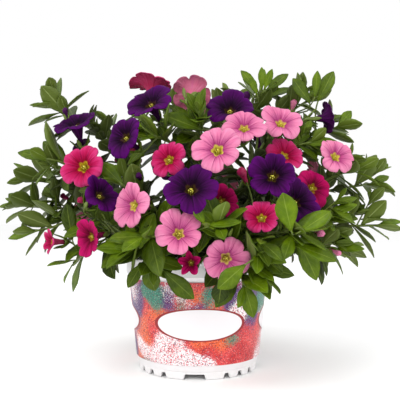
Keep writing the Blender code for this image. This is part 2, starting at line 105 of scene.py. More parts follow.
# Stems and stalks, as in the model. The last two are for the stalks that only this script adds
HOLE_DEPTH = 8 * MM
STEM_START = 4 * MM
STEM_RADIUS = 1.4 * MM
SHOOT_RADIUS = 0.8 * MM
PEDICEL_RADIUS = 0.6 * MM
STEM_POINTS = 7
FORK = 0.5
LEAF_STALK_RADIUS = 0.55 * MM
BUD_STALK_RADIUS = 0.5 * MM

# How a main shoot arches, as in the model and as shares of the way from its foot to its tip: its rise and
# lean as it sets out, and its level reach and drop as it ends. A tip below the given height hangs more, by
# this share of how far below it is
ARCH_RISE = 0.42
ARCH_LEAN = 0.12
TIP_REACH = 0.38
TIP_DROP = 0.1
HANG_BELOW = 95 * MM
HANG_SHARE = 1.2

# Places along a shoot, in steps back from its tip: all of them, those where the model may have a flower
# stalk, and those where a sprig or a bud may root. A root that makes a sprig turn back counts as this much
# further off
PLACES = 20
STALK_PLACES = range(2, 14)
ROOT_PLACES = range(3, 16)
TURNING_BACK = 6 * MM

# How near a corner of the model has to be to a stalk's bend, in stalk radii, and to a leaf's outline
BEND_REACH = 1.3
OUTLINE_REACH = 0.05 * MM

# Leaves: the model's own, then the older ones further down that only this script adds
LEAF_LENGTH = 28 * MM
LEAF_WIDTH_SHARE = 0.46
LEAF_STEPS = tuple(s * MM for s in (1, 4, 8, 13, 19, 26))
LEAVES_ON_MAIN = 6
LEAVES_ON_SIDE = 5
MODEL_TRIES = 8
BLADE_THICKNESS = 0.45 * MM
BLADE_STATIONS = (0, 0.14, 0.32, 0.5, 0.68, 0.84, 0.95, 1)
BLADE_STRIPS = 4
SEPAL_FOLD = 0.16
BLADE_OUTLINE = ((0.05, 0), (0.4, 1), (0.8, 1), (1, 0), (0.8, -1), (0.4, -1))
OLD_LEAF_FIRST = 31 * MM
OLD_LEAF_STEP = 5.5 * MM
ADDED_TRIES = 6
NEXT_TRY = math.radians(51)
SHORTER_EACH_TRY = 0.06

# What an added leaf keeps clear of: the air this far before a bloom's face, and these shares of its width,
# in the air before it and as the camera sees it
AIR_DEPTH = 30 * MM
AIR_SHARE = 0.4
SIGHT_SHARE = 0.47

# Twigs, which only this script adds: how far they stand apart, how long they are, and their leaves, each as
# a share of the twig's length from its tip and a share of a full leaf
TWIG_FIRST = (14 * MM, 24 * MM)
TWIG_STEP = (13 * MM, 21 * MM)
TWIG_LENGTH = (12 * MM, 24 * MM)
TWIG_TRIES = 5
TWIG_LEAVES = ((0.02, 0.34), (0.1, 0.48), (0.22, 0.64), (0.38, 0.78), (0.56, 0.88), (0.76, 0.92))

# Large sprigs in front: the stem that each grows on, its tip in mm, its heading there, its leaves' length
# in mm and how young and how lit they are: a lower value darkens their green with painted shade
FRONT_SPRIGS = (
    ("front_left", (-40, -84, 89), (-0.4, -0.9, 0.35), 31, 1.0),
    ("left_front", (-27, -79, 76), (0.3, -0.7, -0.5), 27, 0.85),
    ("front_right", (55, -92, 97), (0.3, -0.8, 0.5), 31, 1.0),
    ("front_mid", (33, -94, 82), (0.4, -0.8, -0.1), 25, 1.0),
    ("front_mid", (39, -86, 74), (0.4, -0.5, -0.8), 32, 0.6),
    ("front_left", (6, -100, 101), (0.2, -0.9, 0.2), 18, 1.0),
    ("top_front", (3, -52, 168), (0.05, -0.2, 1.0), 21, 1.0),
    ("top_front", (-20, -50, 160), (-0.7, -0.6, 0.5), 24, 0.6),
)

# A sprig's leaves: how far each stands behind the tip, in mm, and its share of the sprig's full leaf
SPRIG_LEAVES = (
    (0.5, 0.3),
    (1.5, 0.42),
    (3, 0.58),
    (5, 0.75),
    (7.5, 0.9),
    (10.5, 1.0),
    (14, 1.0),
    (18, 0.95),
    (23, 0.9),
)

# Large single leaves that stand out: their root in mm, their heading, the way their upper face looks, their
# length in mm, their width's share of it and how young and how lit they are: a lower value darkens their
# green with painted shade
FRONT_LEAVES = (
    ((-38, -84, 87), (-1, -0.3, 0.15), (0, -0.6, 0.8), 21, 0.52, 1.0),
    ((-34, -84, 88), (0.35, -0.2, 0.9), (-0.25, -0.95, -0.1), 22, 0.48, 1.0),
    ((-38, -85, 90), (-0.15, -0.3, 0.9), (0.2, -0.95, -0.1), 13, 0.5, 1.0),
    ((-27, -82, 82), (1, -0.25, -0.25), (0, -0.8, 0.6), 19, 0.52, 0.95),
    ((-21, -80, 75), (0.72, -0.2, -0.66), (-0.2, -0.95, 0.1), 25, 0.46, 0.55),
    ((-32, -80, 80), (-0.55, -0.15, -0.8), (-0.3, -0.9, 0.3), 18, 0.44, 0.65),
    ((52, -101, 98), (-0.25, -0.25, 0.95), (-0.2, -0.95, -0.1), 22, 0.6, 1.0),
    ((57, -101, 98), (0.78, -0.2, 0.55), (0.1, -0.9, 0.3), 20, 0.48, 1.0),
    ((54, -90, 91), (0.95, -0.2, -0.28), (0, -0.6, 0.8), 27, 0.4, 0.9),
    ((26, -106, 80), (-0.76, -0.25, -0.6), (0.1, -0.9, 0.4), 20, 0.56, 0.95),
    ((14, -88, 71), (-0.15, -0.1, -1), (0, -1, 0.1), 15, 0.7, 0.3),
    ((6, -101, 101), (1, -0.2, 0.22), (0, -0.7, 0.7), 18, 0.5, 0.95),
    ((4, -101, 102), (-0.5, -0.3, 0.8), (0.1, -0.95, 0.1), 12, 0.5, 1.0),
    ((3, -55, 162), (-0.9, -0.15, 0.42), (0.3, -0.8, 0.5), 27, 0.44, 0.55),
    ((-23, -52, 150), (-0.5, -0.1, 0.86), (0.3, -0.9, 0.2), 25, 0.42, 0.4),
    ((-63, -70, 122), (-1, -0.2, 0.15), (0, -0.6, 0.8), 18, 0.6, 0.4),
    ((-79, -60, 92), (-0.15, -0.1, 1), (0.1, -0.95, 0.1), 23, 0.42, 0.35),
    ((46, -12, 198), (0.0, -0.1, 1), (0, -0.95, 0.1), 17, 0.34, 1.0),
    ((43, -14, 197), (-0.62, -0.2, 0.8), (0.2, -0.9, 0.3), 19, 0.46, 0.8),
    ((49, -12, 198), (0.75, -0.1, 0.62), (-0.1, -0.9, 0.4), 20, 0.42, 0.6),
    ((47, -16, 197), (0.35, -0.3, 0.95), (0, -0.95, 0.2), 16, 0.36, 1.0),
    ((42, -18, 193), (-0.3, -0.4, 0.75), (0.1, -0.9, 0.4), 14, 0.42, 1.0),
    ((87, -8, 191), (0.45, -0.1, 0.9), (-0.2, -0.95, 0.1), 25, 0.42, 0.75),
    ((81, -10, 189), (-0.5, -0.1, 0.8), (0.2, -0.95, 0.1), 22, 0.5, 0.55),
    ((89, -12, 182), (0.75, -0.1, 0.55), (-0.1, -0.8, 0.5), 22, 0.46, 0.6),
    ((84, -12, 193), (0.1, -0.2, 1), (0, -0.95, 0.1), 19, 0.36, 0.9),
)

# Furled buds, which only this script adds: their colour, their tip in mm, their heading and their length in
# mm. Their shape is a share of the length and the radius there, as a share of it too
BUDS = (
    ("rose", (26, -70, 136), (-0.3, -0.7, 0.5), 17),
    ("blush", (75, -76, 96), (0.2, -0.9, -0.2), 14),
    ("blush", (90, -60, 83), (0.6, -0.5, -0.3), 10),
    ("purple", (36, -10, 198), (0.2, -0.2, 1.0), 14),
    ("blush", (71, -5, 193), (0.3, -0.2, 1.0), 13),
    ("purple", (-94, -20, 184), (-0.2, -0.1, 1.0), 11),
    ("rose", (-78, -50, 118), (-0.6, -0.6, 0.2), 12),
    ("purple", (-36, -77, 132), (-0.1, -0.9, 0.3), 11),
    ("rose", (44, 66, 150), (0.2, 0.6, 0.7), 13),
    ("purple", (-58, 62, 138), (-0.3, 0.7, 0.5), 14),
    ("blush", (96, 34, 128), (0.8, 0.3, 0.4), 12),
    ("magenta", (-104, 12, 124), (-0.8, 0.1, 0.4), 12),
)
BUD_SHAPE = (
    (0.0, 0.055),
    (0.2, 0.075),
    (0.45, 0.09),
    (0.66, 0.15),
    (0.82, 0.185),
    (0.93, 0.14),
    (1.0, 0.03),
)

# Blooms, as in the model
LOBES = 5
TUBE_SHARE = 0.58
TUBE_RADIUS = 1.6 * MM
CALYX_LENGTH = 4 * MM
CALYX_RADIUS = 2.2 * MM

# The petals as this script makes them, and which blooms, counted from one, are only half open
PETAL_SIDES = 60
PETAL_EDGE = 0.35 * MM
RUFFLES = ((1, 0.03), (2, 0.05), (3, 0.055), (7, 0.022), (11, 0.02), (16, 0.012))
HALF_OPEN = (22, 27)

# A bloom's profile from the bottom of its throat to its rim, back down behind it and on down its tube. The
# first two give a share of the radius and a height, as a share of it too. The tube's gives a share of the
# radius, and how far down it is from the throat to the tube's foot
FACE_PROFILE = (
    (0.0, -0.6),
    (0.1, -0.58),
    (0.135, -0.49),
    (0.17, -0.4),
    (0.215, -0.32),
    (0.27, -0.255),
    (0.36, -0.185),
    (0.48, -0.115),
    (0.62, -0.058),
    (0.77, -0.02),
    (0.9, 0.0),
    (1.0, -0.022),
)
BACK_PROFILE = (
    (1.0, -0.022),
    (0.9, 0.0),
    (0.77, -0.02),
    (0.62, -0.062),
    (0.48, -0.13),
    (0.38, -0.21),
    (0.3, -0.31),
)
TUBE_PROFILE = ((0.26, 0.1), (0.0, 0.7), (0.0, 1.0))
STATIONS = len(FACE_PROFILE) + len(BACK_PROFILE) + len(TUBE_PROFILE) + 1

# Leafy stems: where each stands in the soil, then the tips of its main shoot and its side shoot, in mm
STEMS = {
    "left_low": ((-28, 4), (-132, 4, 116), (-114, -22, 97)),
    "left_mid": ((-22, 9), (-128, 14, 136), (-104, -30, 147)),
    "left_high": ((-18, -1), (-108, 0, 188), (-66, 10, 178)),
    "left_front": ((-25, -14), (-80, -52, 77), (-64, -62, 106)),
    "front_left": ((-10, -27), (-31, -97, 95), (-50, -60, 128)),
    "front_mid": ((6, -30), (27, -88, 66), (11, -98, 101)),
    "front_right": ((15, -25), (34, -95, 86), (61, -84, 98)),
    "right_front": ((25, -12), (92, -42, 85), (84, -62, 108)),
    "right_low": ((28, -3), (130, -10, 101), (114, 26, 84)),
    "right_mid": ((23, 4), (130, 6, 132), (113, -20, 140)),
    "right_high": ((17, -3), (104, 0, 174), (78, -30, 158)),
    "top_right": ((14, 4), (84, 10, 196), (47, 12, 202)),
    "top_front": ((0, -13), (0, -54, 174), (-28, -60, 158)),
    "back_left": ((-18, 15), (-84, 72, 132), (-58, 90, 92)),
    "back_mid": ((-3, 23), (-12, 97, 122), (8, 78, 160)),
    "back_right": ((14, 18), (62, 84, 128), (96, 62, 98)),
    "back_high": ((5, 8), (26, 38, 200), (-40, 44, 188)),
}

# Blooms: their colour, the centre of their face in mm, their width in mm, where they face, as degrees to
# the right of the front and degrees above the horizon, and how many degrees their lobes are turned
BLOOMS = (
    ("rose", (-73, -66, 139), 31, -12, 14, 31),
    ("purple", (-85, -30, 174), 34, -20, 58, 62),
    ("purple", (-33, -48, 184), 33, -28, 38, 21),
    ("rose", (-33, -10, 205), 33, 160, 76, 52),
    ("blush", (-3, -22, 193), 30, 165, 24, 11),
    ("purple", (21, -50, 180), 34, 0, 42, 42),
    ("blush", (28, -76, 163), 28, -2, 34, 14),
    ("blush", (54, -58, 169), 29, 12, 34, 45),
    ("blush", (11, -95, 146), 30, -4, 16, 4),
    ("purple", (-47, -72, 157), 29, -34, 24, 22),
    ("rose", (-19, -78, 142), 26, -22, 18, 66),
    ("purple", (-4, -101, 124), 32, 0, 30, 25),
    ("purple", (43, -92, 131), 30, -6, 16, 43),
    ("purple", (62, -72, 116), 31, 22, 8, 2),
    ("magenta", (76, -54, 126), 28, 28, 12, 33),
    ("rose", (57, -56, 148), 26, 24, 30, 64),
    ("blush", (92, -48, 148), 29, 18, 22, 49),
    ("purple", (94, -14, 178), 24, 96, 6, 54),
    ("purple", (-56, -80, 121), 27, 52, 30, 13),
    ("blush", (-40, -94, 113), 29, -42, 4, 44),
    ("magenta", (-66, -80, 94), 23, -40, -8, 3),
    ("rose", (-94, -60, 91), 18, -52, 2, 34),
    ("blush", (-10, -104, 98), 28, 10, 18, 10),
    ("magenta", (15, -78, 116), 24, 14, 2, 63),
    ("rose", (36, -95, 107), 23, -8, 26, 55),
    ("blush", (16, -100, 82), 28, 2, -8, 27),
    ("magenta", (-5, -94, 80), 16, -24, 4, 58),
    ("purple", (-98, 34, 158), 30, -98, 24, 4),
    ("rose", (-60, 66, 160), 29, -140, 30, 35),
    ("blush", (-96, 48, 106), 29, -118, 8, 7),
    ("purple", (-26, 80, 154), 31, 170, 26, 25),
    ("blush", (26, 86, 140), 29, 168, 18, 56),
    ("rose", (-34, 94, 104), 28, -164, 6, 15),
    ("magenta", (40, 92, 100), 28, 156, 4, 46),
    ("purple", (60, 54, 172), 31, 138, 36, 5),
    ("blush", (98, 40, 142), 29, 112, 18, 36),
    ("rose", (92, 44, 106), 27, 118, 4, 67),
    ("blush", (-4, 30, 208), 30, 150, 66, 26),
)


def square_to(direction, along):
    """The unit vector square to along that lies nearest to the direction."""
    return (direction - along * direction.dot(along)).normalized()


def swung(axis, swing):
    """The direction square to the axis that is swung round it by this angle."""
    first = axis.orthogonal().normalized()
    second = axis.cross(first)
    return first * math.cos(swing) + second * math.sin(swing)


def outward(place):
    """The level direction from the pot's axis to this place."""
    return Vector((place.x, place.y, 0)).normalized()


def arch(start, leaving, end, arriving, count):
    """The points of a smooth line from start to end, which leaves and arrives as these vectors say."""
    return interpolate_bezier(start, start + leaving, end - arriving, end, count)


def bell(off, width):
    """1 at the middle, falling off smoothly over this width."""
    return math.exp(-((off / width) ** 2))


class Shoot:
    """A leafy shoot: its stem, its number on it, its line and radii, its leaves' youth and painted shade, and
    their length.
    """

    def __init__(self, stem, number, points, thick, thin=SHOOT_RADIUS, youth_and_shade=0.6, leaf_length=LEAF_LENGTH):
        self.stem = stem
        self.number = number
        self.points = points
        self.thick = thick
        self.thin = thin
        self.youth_and_shade = youth_and_shade
        self.leaf_length = leaf_length

    @property
    def length(self):
        return sum((after - before).length for before, after in zip(self.points, self.points[1:]))

    def back_from_tip(self, distance):
        """The point that far from the tip, and the direction towards the tip there."""
        for after, before in zip(self.points[:0:-1], self.points[-2::-1]):
            step = after - before
            if distance <= step.length:
                return after - step.normalized() * distance, step.normalized()
            distance -= step.length
        return self.points[0].copy(), (self.points[1] - self.points[0]).normalized()


class Bloom:
    """One bloom: the centre of its face, its facing direction, its width and the foot of its tube."""

    def __init__(self, number, colour, centre, width, turn, rise, spin):
        self.number = number
        self.name = f"bloom_{number:02d}_{colour}"
        self.flower_name = f"flower_{number:02d}_{colour}"
        self.colour = colour
        self.centre = Vector(centre) * MM
        self.width = width * MM
        turn, rise = math.radians(turn), math.radians(rise)
        self.facing = Vector(
            (math.sin(turn) * math.cos(rise), -math.cos(turn) * math.cos(rise), math.sin(rise))
        )
        self.depth = self.width * TUBE_SHARE
        self.foot = self.centre - self.facing * self.depth
        self.calyx_top = self.foot - self.facing * GAP
        self.calyx_foot = self.calyx_top - self.facing * CALYX_LENGTH
        self.turn = self.facing.to_track_quat("Z", "Y") @ Quaternion((0, 0, 1), math.radians(spin))


class Leaf:
    """One leaf: its root, its heading there, the way its upper face looks, its size, and its youth and
    painted shade.
    """

    def __init__(self, root, along, face, length, droop, youth_and_shade=0.5, width_share=LEAF_WIDTH_SHARE):
        self.root = root
        self.along = along
        self.face = face
        self.side = along.cross(face)
        self.length = length
        self.width = length * width_share
        self.droop = droop
        self.youth_and_shade = youth_and_shade
        self.fold = SEPAL_FOLD
        self.twist = 0.0

    def half_width(self, u):
        """Half the blade's width at the share u of its length: a narrow foot and a broad blunt end."""
        return 0.5 * self.width * math.sin(math.pi * u**1.5) ** 0.7 if 0 < u < 1 else 0.0

    def point(self, u, v):
        """The point of the flat blade at the share u of the length, and v from -1 to 1 across."""
        sag = self.droop * self.length * u * u
        rib = self.root + self.along * (u * self.length) - self.face * sag
        return rib + self.side * v * self.half_width(u)

    def curved_point(self, u, v, depth):
        """The point of the real blade: folded, arched, twisted and rippled, on a stalk."""
        narrowing = 1.03 - 0.3 * u**4
        stalk_width = (0.55 - 0.3 * u) * MM
        wide = max(self.half_width(u) * narrowing, stalk_width)
        roll = self.twist * u
        side = self.side * math.cos(roll) + self.face * math.sin(roll)
        face = self.face * math.cos(roll) - self.side * math.sin(roll)
        folded = self.fold * wide * abs(v) ** 1.4
        arched = 0.1 * wide * math.sin(math.pi * u)
        rippled = 0.05 * wide * abs(v) * math.sin(9 * u + 5 * self.twist + v)
        raised = folded - arched + rippled - depth * BLADE_THICKNESS
        return self.point(u, 0) + side * v * wide + face * raised


def main_shoot(stem, foot, tip):
    """From its hole in the soil straight up, then over in an arch to the tip."""
    start = Vector((*foot, SOIL_TOP + STEM_START))
    chord = tip - start
    level = Vector((chord.x, chord.y, 0))
    hang = max(0.0, HANG_BELOW - tip.z)
    start_handle = start + UP * ARCH_RISE * chord.length + level * ARCH_LEAN
    end_handle = tip - level * TIP_REACH + UP * (HANG_SHARE * hang - TIP_DROP * max(0.0, chord.z))
    line = interpolate_bezier(start, start_handle, end_handle, tip, STEM_POINTS)
    ground = Vector((*foot, SOIL_TOP + SOIL_MOUND - HOLE_DEPTH + GAP))
    return Shoot(stem, 0, [ground, *line], STEM_RADIUS)


def side_shoot(stem, parent, tip):
    """From the fork of the main shoot to its own tip."""
    fork = round(FORK * (len(parent.points) - 1))
    start = parent.points[fork]
    heading = (parent.points[fork + 1] - parent.points[fork - 1]).normalized()
    reach = (tip - start).length
    points = arch(start, heading * 0.35 * reach, tip, outward(tip) * 0.3 * reach, STEM_POINTS - 2)
    return Shoot(stem, 1, points, SHOOT_RADIUS * 1.15)


def grow_shoots():
    shoots = []
    for stem, (foot, tip, side_tip) in STEMS.items():
        main = main_shoot(stem, Vector(foot) * MM, Vector(tip) * MM)
        shoots += [main, side_shoot(stem, main, Vector(side_tip) * MM)]
    return shoots


def corner_finder(node):
    """Looks up a CAD node's corners by their place."""
    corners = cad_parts[node].data.vertices
    finder = KDTree(len(corners))
    for corner in corners:
        finder.insert(corner.co, corner.index)
    finder.balance()
    return finder


def pedicel_points(shoot, back, bloom):
    """The line of a flower stalk, from the shoot into the calyx."""
    start, heading = shoot.back_from_tip(back)
    reach = (bloom.calyx_foot - start).length
    return arch(start, heading * 0.3 * reach, bloom.calyx_foot, bloom.facing * 0.35 * reach, 4)


def modelled_stalk(bloom, shoots, finders):
    """The flower stalk that the model has for this bloom: the one whose bends its corners stand round."""
    near = PEDICEL_RADIUS * BEND_REACH
    for shoot in shoots:
        for place in STALK_PLACES:
            points = pedicel_points(shoot, shoot.length * place / PLACES, bloom)
            found = [finders[shoot.stem].find_range(bend, near) for bend in points[1:3]]
            if all(len(corners) >= 3 for corners in found):
                return shoot, points
    raise LookupError(f"the model has no stalk for {bloom.name}")


def leaf_directions(root, axis, swing, lean, inward, to_outside):
    """The heading of a leaf swung round the shoot and leaning from it, and the way its upper face looks."""
    along = (axis * math.cos(lean) + swung(axis, swing) * math.sin(lean)).normalized()
    light = (UP + outward(root) * to_outside).normalized()
    face = (square_to(axis, along) * inward + square_to(light, along)).normalized()
    return along, square_to(face, along)


def leaf_tries(shoot, number):
    """The ways this leaf may stand in the model, best first."""
    draw = random.Random(f"{shoot.stem} {shoot.number} {number}")
    root, axis = shoot.back_from_tip(LEAF_STEPS[number])
    roll = draw.uniform(0, 0.6) + shoot.number + number * GOLDEN_ANGLE
    lean = math.radians(22 + 8.5 * number + draw.uniform(-6, 6))
    grown = min(1.0, 0.6 + 0.15 * number) * draw.uniform(0.92, 1.12)
    droop = draw.uniform(0.06, 0.26)
    for attempt in range(MODEL_TRIES):
        swing = roll + (-1) ** attempt * math.ceil(attempt / 2) * math.radians(24)
        along, face = leaf_directions(root, axis, swing, lean, inward=0.6, to_outside=0.7)
        length = LEAF_LENGTH * grown * (1 - SHORTER_EACH_TRY * attempt)
        yield Leaf(root, along, face, length, droop)


def modelled_leaves(shoot, finder):
    """The leaves that the model has on this shoot: of each leaf's tries, the one whose outline it holds."""
    count = LEAVES_ON_SIDE if shoot.number else LEAVES_ON_MAIN
    for number in range(count):
        for leaf in leaf_tries(shoot, number):
            outline = [leaf.point(1, 0)] + [leaf.point(u, v) for u in (0.46, 0.82) for v in (-1, 1)]
            if sum(finder.find(point)[2] < OUTLINE_REACH for point in outline) >= 2:
                draw = random.Random(f"bend {shoot.stem} {shoot.number} {number}")
                # Further back from the tip a leaf is older and deeper in the plant: a lower value, a green
                # darkened with painted shade
                leaf.youth_and_shade = 0.98 - 0.13 * number + draw.uniform(-0.1, 0.1)
                leaf.twist = draw.uniform(-0.35, 0.35)
                leaf.fold = draw.uniform(0.1, 0.3)
                yield leaf
                break


class Clearings:
    """The places where an added leaf may grow: clear of the pot, of the blooms and of the air before them."""

    def __init__(self, blooms):
        self.blooms = blooms
        self.lowest, self.highest = (Vector(corner) for corner in cad_bounds)
        solids = ["pot", "printed_sleeve"] + [bloom.name for bloom in blooms]
        self.solids = [self.solid_tree(name) for name in solids]

    @staticmethod
    def solid_tree(name):
        shape = bmesh.new()
        shape.from_mesh(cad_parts[name].data)
        tree = BVHTree.FromBMesh(shape)
        shape.free()
        return tree

    def is_before_a_bloom(self, point):
        """True if the point hides a bloom from the camera, or stands in the air before its face."""
        sight = point - CAMERA
        for bloom in self.blooms:
            away = (bloom.centre - CAMERA).length
            faces_camera = bloom.facing.y < 0.2
            if faces_camera and sight.length < away:
                seen = CAMERA + sight * (away / sight.length)
                if (seen - bloom.centre).length < SIGHT_SHARE * bloom.width:
                    return True
            off = point - bloom.centre
            ahead = off.dot(bloom.facing)
            if 0 < ahead < AIR_DEPTH and (off - bloom.facing * ahead).length < AIR_SHARE * bloom.width:
                return True
        return False

    def is_free(self, point):
        """True if the point is inside the model's box and before no bloom."""
        inside = all(low < here < high for low, here, high in zip(self.lowest, point, self.highest))
        return inside and not self.is_before_a_bloom(point)

    def misses_solids(self, leaf):
        """True if the leaf's blade cuts neither the pot nor any bloom."""
        shape = bmesh.new()
        shape.faces.new([shape.verts.new(leaf.point(u, v)) for u, v in BLADE_OUTLINE])
        tree = BVHTree.FromBMesh(shape)
        shape.free()
        return not any(tree.overlap(solid) for solid in self.solids)

    def allow(self, leaf):
        """True if the whole leaf grows clear."""
        points = [leaf.point(u, v) for u in (0.35, 0.6, 0.85) for v in (-1, 0, 1)] + [leaf.point(1, 0)]
        return all(map(self.is_free, points)) and self.misses_solids(leaf)


def first_clear(shoot, back, swing, lean, length, droop, youth_and_shade, draw, clearings):
    """The leaf, swung on and made shorter until it grows clear of the pot and the blooms, or nothing."""
    twist = draw.uniform(-0.5, 0.5)
    fold = draw.uniform(0.08, 0.34)
    root, axis = shoot.back_from_tip(back)
    for attempt in range(ADDED_TRIES):
        turn = swing + attempt * NEXT_TRY
        along, face = leaf_directions(root, axis, turn, lean, inward=0.45, to_outside=0.6)
        leaf = Leaf(root, along, face, length * (1 - SHORTER_EACH_TRY * attempt), droop, youth_and_shade)
        if clearings.allow(leaf):
            leaf.twist = twist
            leaf.fold = fold
            return [leaf]
    return []


def old_leaves(shoot, clearings):
    """The older leaves of a shoot, from behind its young ones down towards its foot."""
    draw = random.Random(f"old {shoot.stem} {shoot.number}")
    leaves = []
    back = OLD_LEAF_FIRST
    bare_foot = (8 if shoot.number else 14) * MM
    number = 0
    while back < shoot.length - bare_foot:
        number += 1
        swing = number * GOLDEN_ANGLE + shoot.number
        lean = math.radians(draw.uniform(50, 84))
        length = LEAF_LENGTH * draw.uniform(0.62, 1.02)
        droop = draw.uniform(0.1, 0.42)
        # Old leaves low on the shoot: their dark green is partly their age and partly painted shade
        youth_and_shade = draw.uniform(0.0, 0.34)
        leaves += first_clear(shoot, back, swing, lean, length, droop, youth_and_shade, draw, clearings)
        back += OLD_LEAF_STEP * draw.uniform(0.7, 1.2)
    return leaves


def side_twigs(shoot, clearings):
    """The short twigs that fill the plant, one every centimetre or two, turned up to the light."""
    draw = random.Random(f"twigs {shoot.stem} {shoot.number}")
    twigs = []
    bare_foot = 22 * MM
    back = draw.uniform(*TWIG_FIRST)
    while back < shoot.length - bare_foot:
        root, axis = shoot.back_from_tip(back)
        to_light = (UP * 0.6 + outward(root) * 0.5).normalized()
        for _ in range(TWIG_TRIES):
            stray = Vector([draw.uniform(-1, 1) for _ in "xyz"])
            along = (axis * 0.7 + to_light * 0.8 + stray * 0.75).normalized()
            length = draw.uniform(*TWIG_LENGTH)
            tip = root + along * length
            if clearings.is_free(tip):
                rising = (along * 0.6 + to_light * 0.5).normalized()
                points = arch(root, along * 0.4 * length, tip, rising * 0.4 * length, 4)
                # Twigs further back from the tip lie deeper in the plant, so their leaves' green is darkened
                # with painted shade
                youth_and_shade = max(0.2, 0.95 - back / (120 * MM)) * draw.uniform(0.8, 1.05)
                number = 10 + len(twigs)
                twigs.append(Shoot(shoot.stem, number, points, SHOOT_RADIUS * 0.9, SHOOT_RADIUS * 0.6, youth_and_shade))
                break
        back += draw.uniform(*TWIG_STEP)
    return twigs


def twig_leaves(twig, clearings):
    """A twig's leaves, from the small bright ones at its tip to the large ones below."""
    draw = random.Random(f"twig {twig.stem} {twig.number} {twig.points[-1].x:.4f}")
    leaves = []
    start = draw.uniform(0, math.tau)
    for number, (share, grown) in enumerate(TWIG_LEAVES):
        back = share * twig.length
        swing = start + number * GOLDEN_ANGLE
        lean = math.radians(16 + 11 * number + draw.uniform(-7, 7))
        length = twig.leaf_length * grown * draw.uniform(0.88, 1.1)
        # Lower leaves on the twig are older and more shaded: a darker green, partly painted shade
        youth_and_shade = min(1.0, twig.youth_and_shade * (1.08 - 0.07 * number) + draw.uniform(-0.06, 0.06))
        droop = draw.uniform(0.04, 0.3)
        leaves += first_clear(twig, back, swing, lean, length, droop, youth_and_shade, draw, clearings)
    return leaves


def nearest_root(shoots, tip, stem):
    """The point on the stem's shoots that a sprig to this tip grows from, and the shoot's heading there."""
    roots = []
    for shoot in shoots:
        if shoot.stem == stem:
            for place in ROOT_PLACES:
                root, heading = shoot.back_from_tip(shoot.length * place / PLACES)
                turns_back = (tip - root).dot(heading) < 0
                roots.append(((tip - root).length + TURNING_BACK * turns_back, root, heading))
    return min(roots, key=lambda found: found[0])[1:]


def closest_stem(shoots, place):
    """The name of the stem that grows nearest to this place."""
    return min(STEMS, key=lambda stem: (nearest_root(shoots, place, stem)[0] - place).length)


def front_sprigs(shoots):
    """The large leafy sprigs that stand out in front, each from its stem to its own tip."""
    sprigs = []
    for number, (stem, tip, heading, leaf_length, youth_and_shade) in enumerate(FRONT_SPRIGS):
        tip = Vector(tip) * MM
        root, leaving = nearest_root(shoots, tip, stem)
        reach = (tip - root).length
        arriving = Vector(heading).normalized()
        points = arch(root, leaving * 0.3 * reach, tip, arriving * 0.4 * reach, 6)
        sprig = Shoot(stem, 100 + number, points, SHOOT_RADIUS, SHOOT_RADIUS * 0.7, youth_and_shade, leaf_length * MM)
        sprigs.append(sprig)
    return sprigs


def sprig_leaves(sprig, clearings):
    """A sprig's leaves, from the small bright ones at its tip to the large ones below."""
    draw = random.Random(f"sprig {sprig.number}")
    leaves = []
    start = draw.uniform(0, math.tau)
    for number, (back, grown) in enumerate(SPRIG_LEAVES):
        if back * MM > sprig.length * 0.8:
            break
        swing = start + number * GOLDEN_ANGLE
        lean = math.radians(14 + 11.5 * number + draw.uniform(-6, 6))
        # Lower leaves on the sprig are older and more shaded: a darker green, partly painted shade
        youth_and_shade = min(1.0, sprig.youth_and_shade * (1.05 - 0.05 * number))
        droop = draw.uniform(0.05, 0.3)
        length = sprig.leaf_length * grown
        leaves += first_clear(sprig, back * MM, swing, lean, length, droop, youth_and_shade, draw, clearings)
    return leaves


def front_leaves(stem, shoots, clearings):
    """The stem's large single leaves in front, each with the path of its thin stalk, where there is room."""
    for number, (root, heading, face, length, width_share, youth_and_shade) in enumerate(FRONT_LEAVES):
        root = Vector(root) * MM
        if closest_stem(shoots, root) != stem:
            continue
        along = Vector(heading).normalized()
        face = square_to(Vector(face), along)
        lengths = (length * share * MM for share in (1, 0.85, 0.7, 0.55))
        sizes = (Leaf(root, along, face, blade, 0.12, youth_and_shade, width_share) for blade in lengths)
        leaf = next(filter(clearings.misses_solids, sizes), None)
        if leaf is None:
            continue
        leaf.twist = 0.35 * math.sin(3 * number)
        leaf.fold = 0.2
        foot, leaving = nearest_root(shoots, root, stem)
        reach = (foot - root).length
        leaving_handle = foot + leaving * 0.3 * reach
        arriving_handle = root - along * 0.35 * reach
        yield leaf, interpolate_bezier(foot, leaving_handle, arriving_handle, root + along * 0.6 * MM, 5)


# A leafy piece's materials, by their place in its mesh: its stalks have the first, and then come these
BLADE_TOP = 1
BLADE_BACK = 2
BUD_PETALS = 3


def deselect():
    bpy.ops.object.select_all(action="DESELECT")


def make_active(piece):
    deselect()
    piece.select_set(True)
    bpy.context.view_layer.objects.active = piece


def add_object(name, data):
    made = bpy.data.objects.new(name, data)
    bpy.context.scene.collection.objects.link(made)
    return made


def own_copy(pattern):
    """A copy of the pattern, with a mesh of its own."""
    piece = pattern.copy()
    piece.data = pattern.data.copy()
    bpy.context.scene.collection.objects.link(piece)
    return piece


def close_shell(merged_within=0.0):
    """Merges the active piece's corners that lie this near each other, and turns all its faces outwards."""
    bpy.ops.object.mode_set(mode="EDIT")
    bpy.ops.mesh.select_all(action="SELECT")
    if merged_within:
        bpy.ops.mesh.remove_doubles(threshold=merged_within)
    bpy.ops.mesh.normals_make_consistent(inside=False)
    bpy.ops.object.mode_set(mode="OBJECT")


def join(pieces, name):
    """One piece of them all, named and with its place in its mesh."""
    deselect()
    for piece in pieces:
        piece.select_set(True)
    bpy.context.view_layer.objects.active = pieces[0]
    bpy.ops.object.join()
    whole = bpy.context.object
    whole.name = whole.data.name = name
    return whole


def with_finishes(piece, finishes):
    """Gives the piece's mesh these materials in this order."""
    if piece.data.materials:
        piece.data.materials.clear()
    for finish in finishes:
        piece.data.materials.append(finish)
    return piece


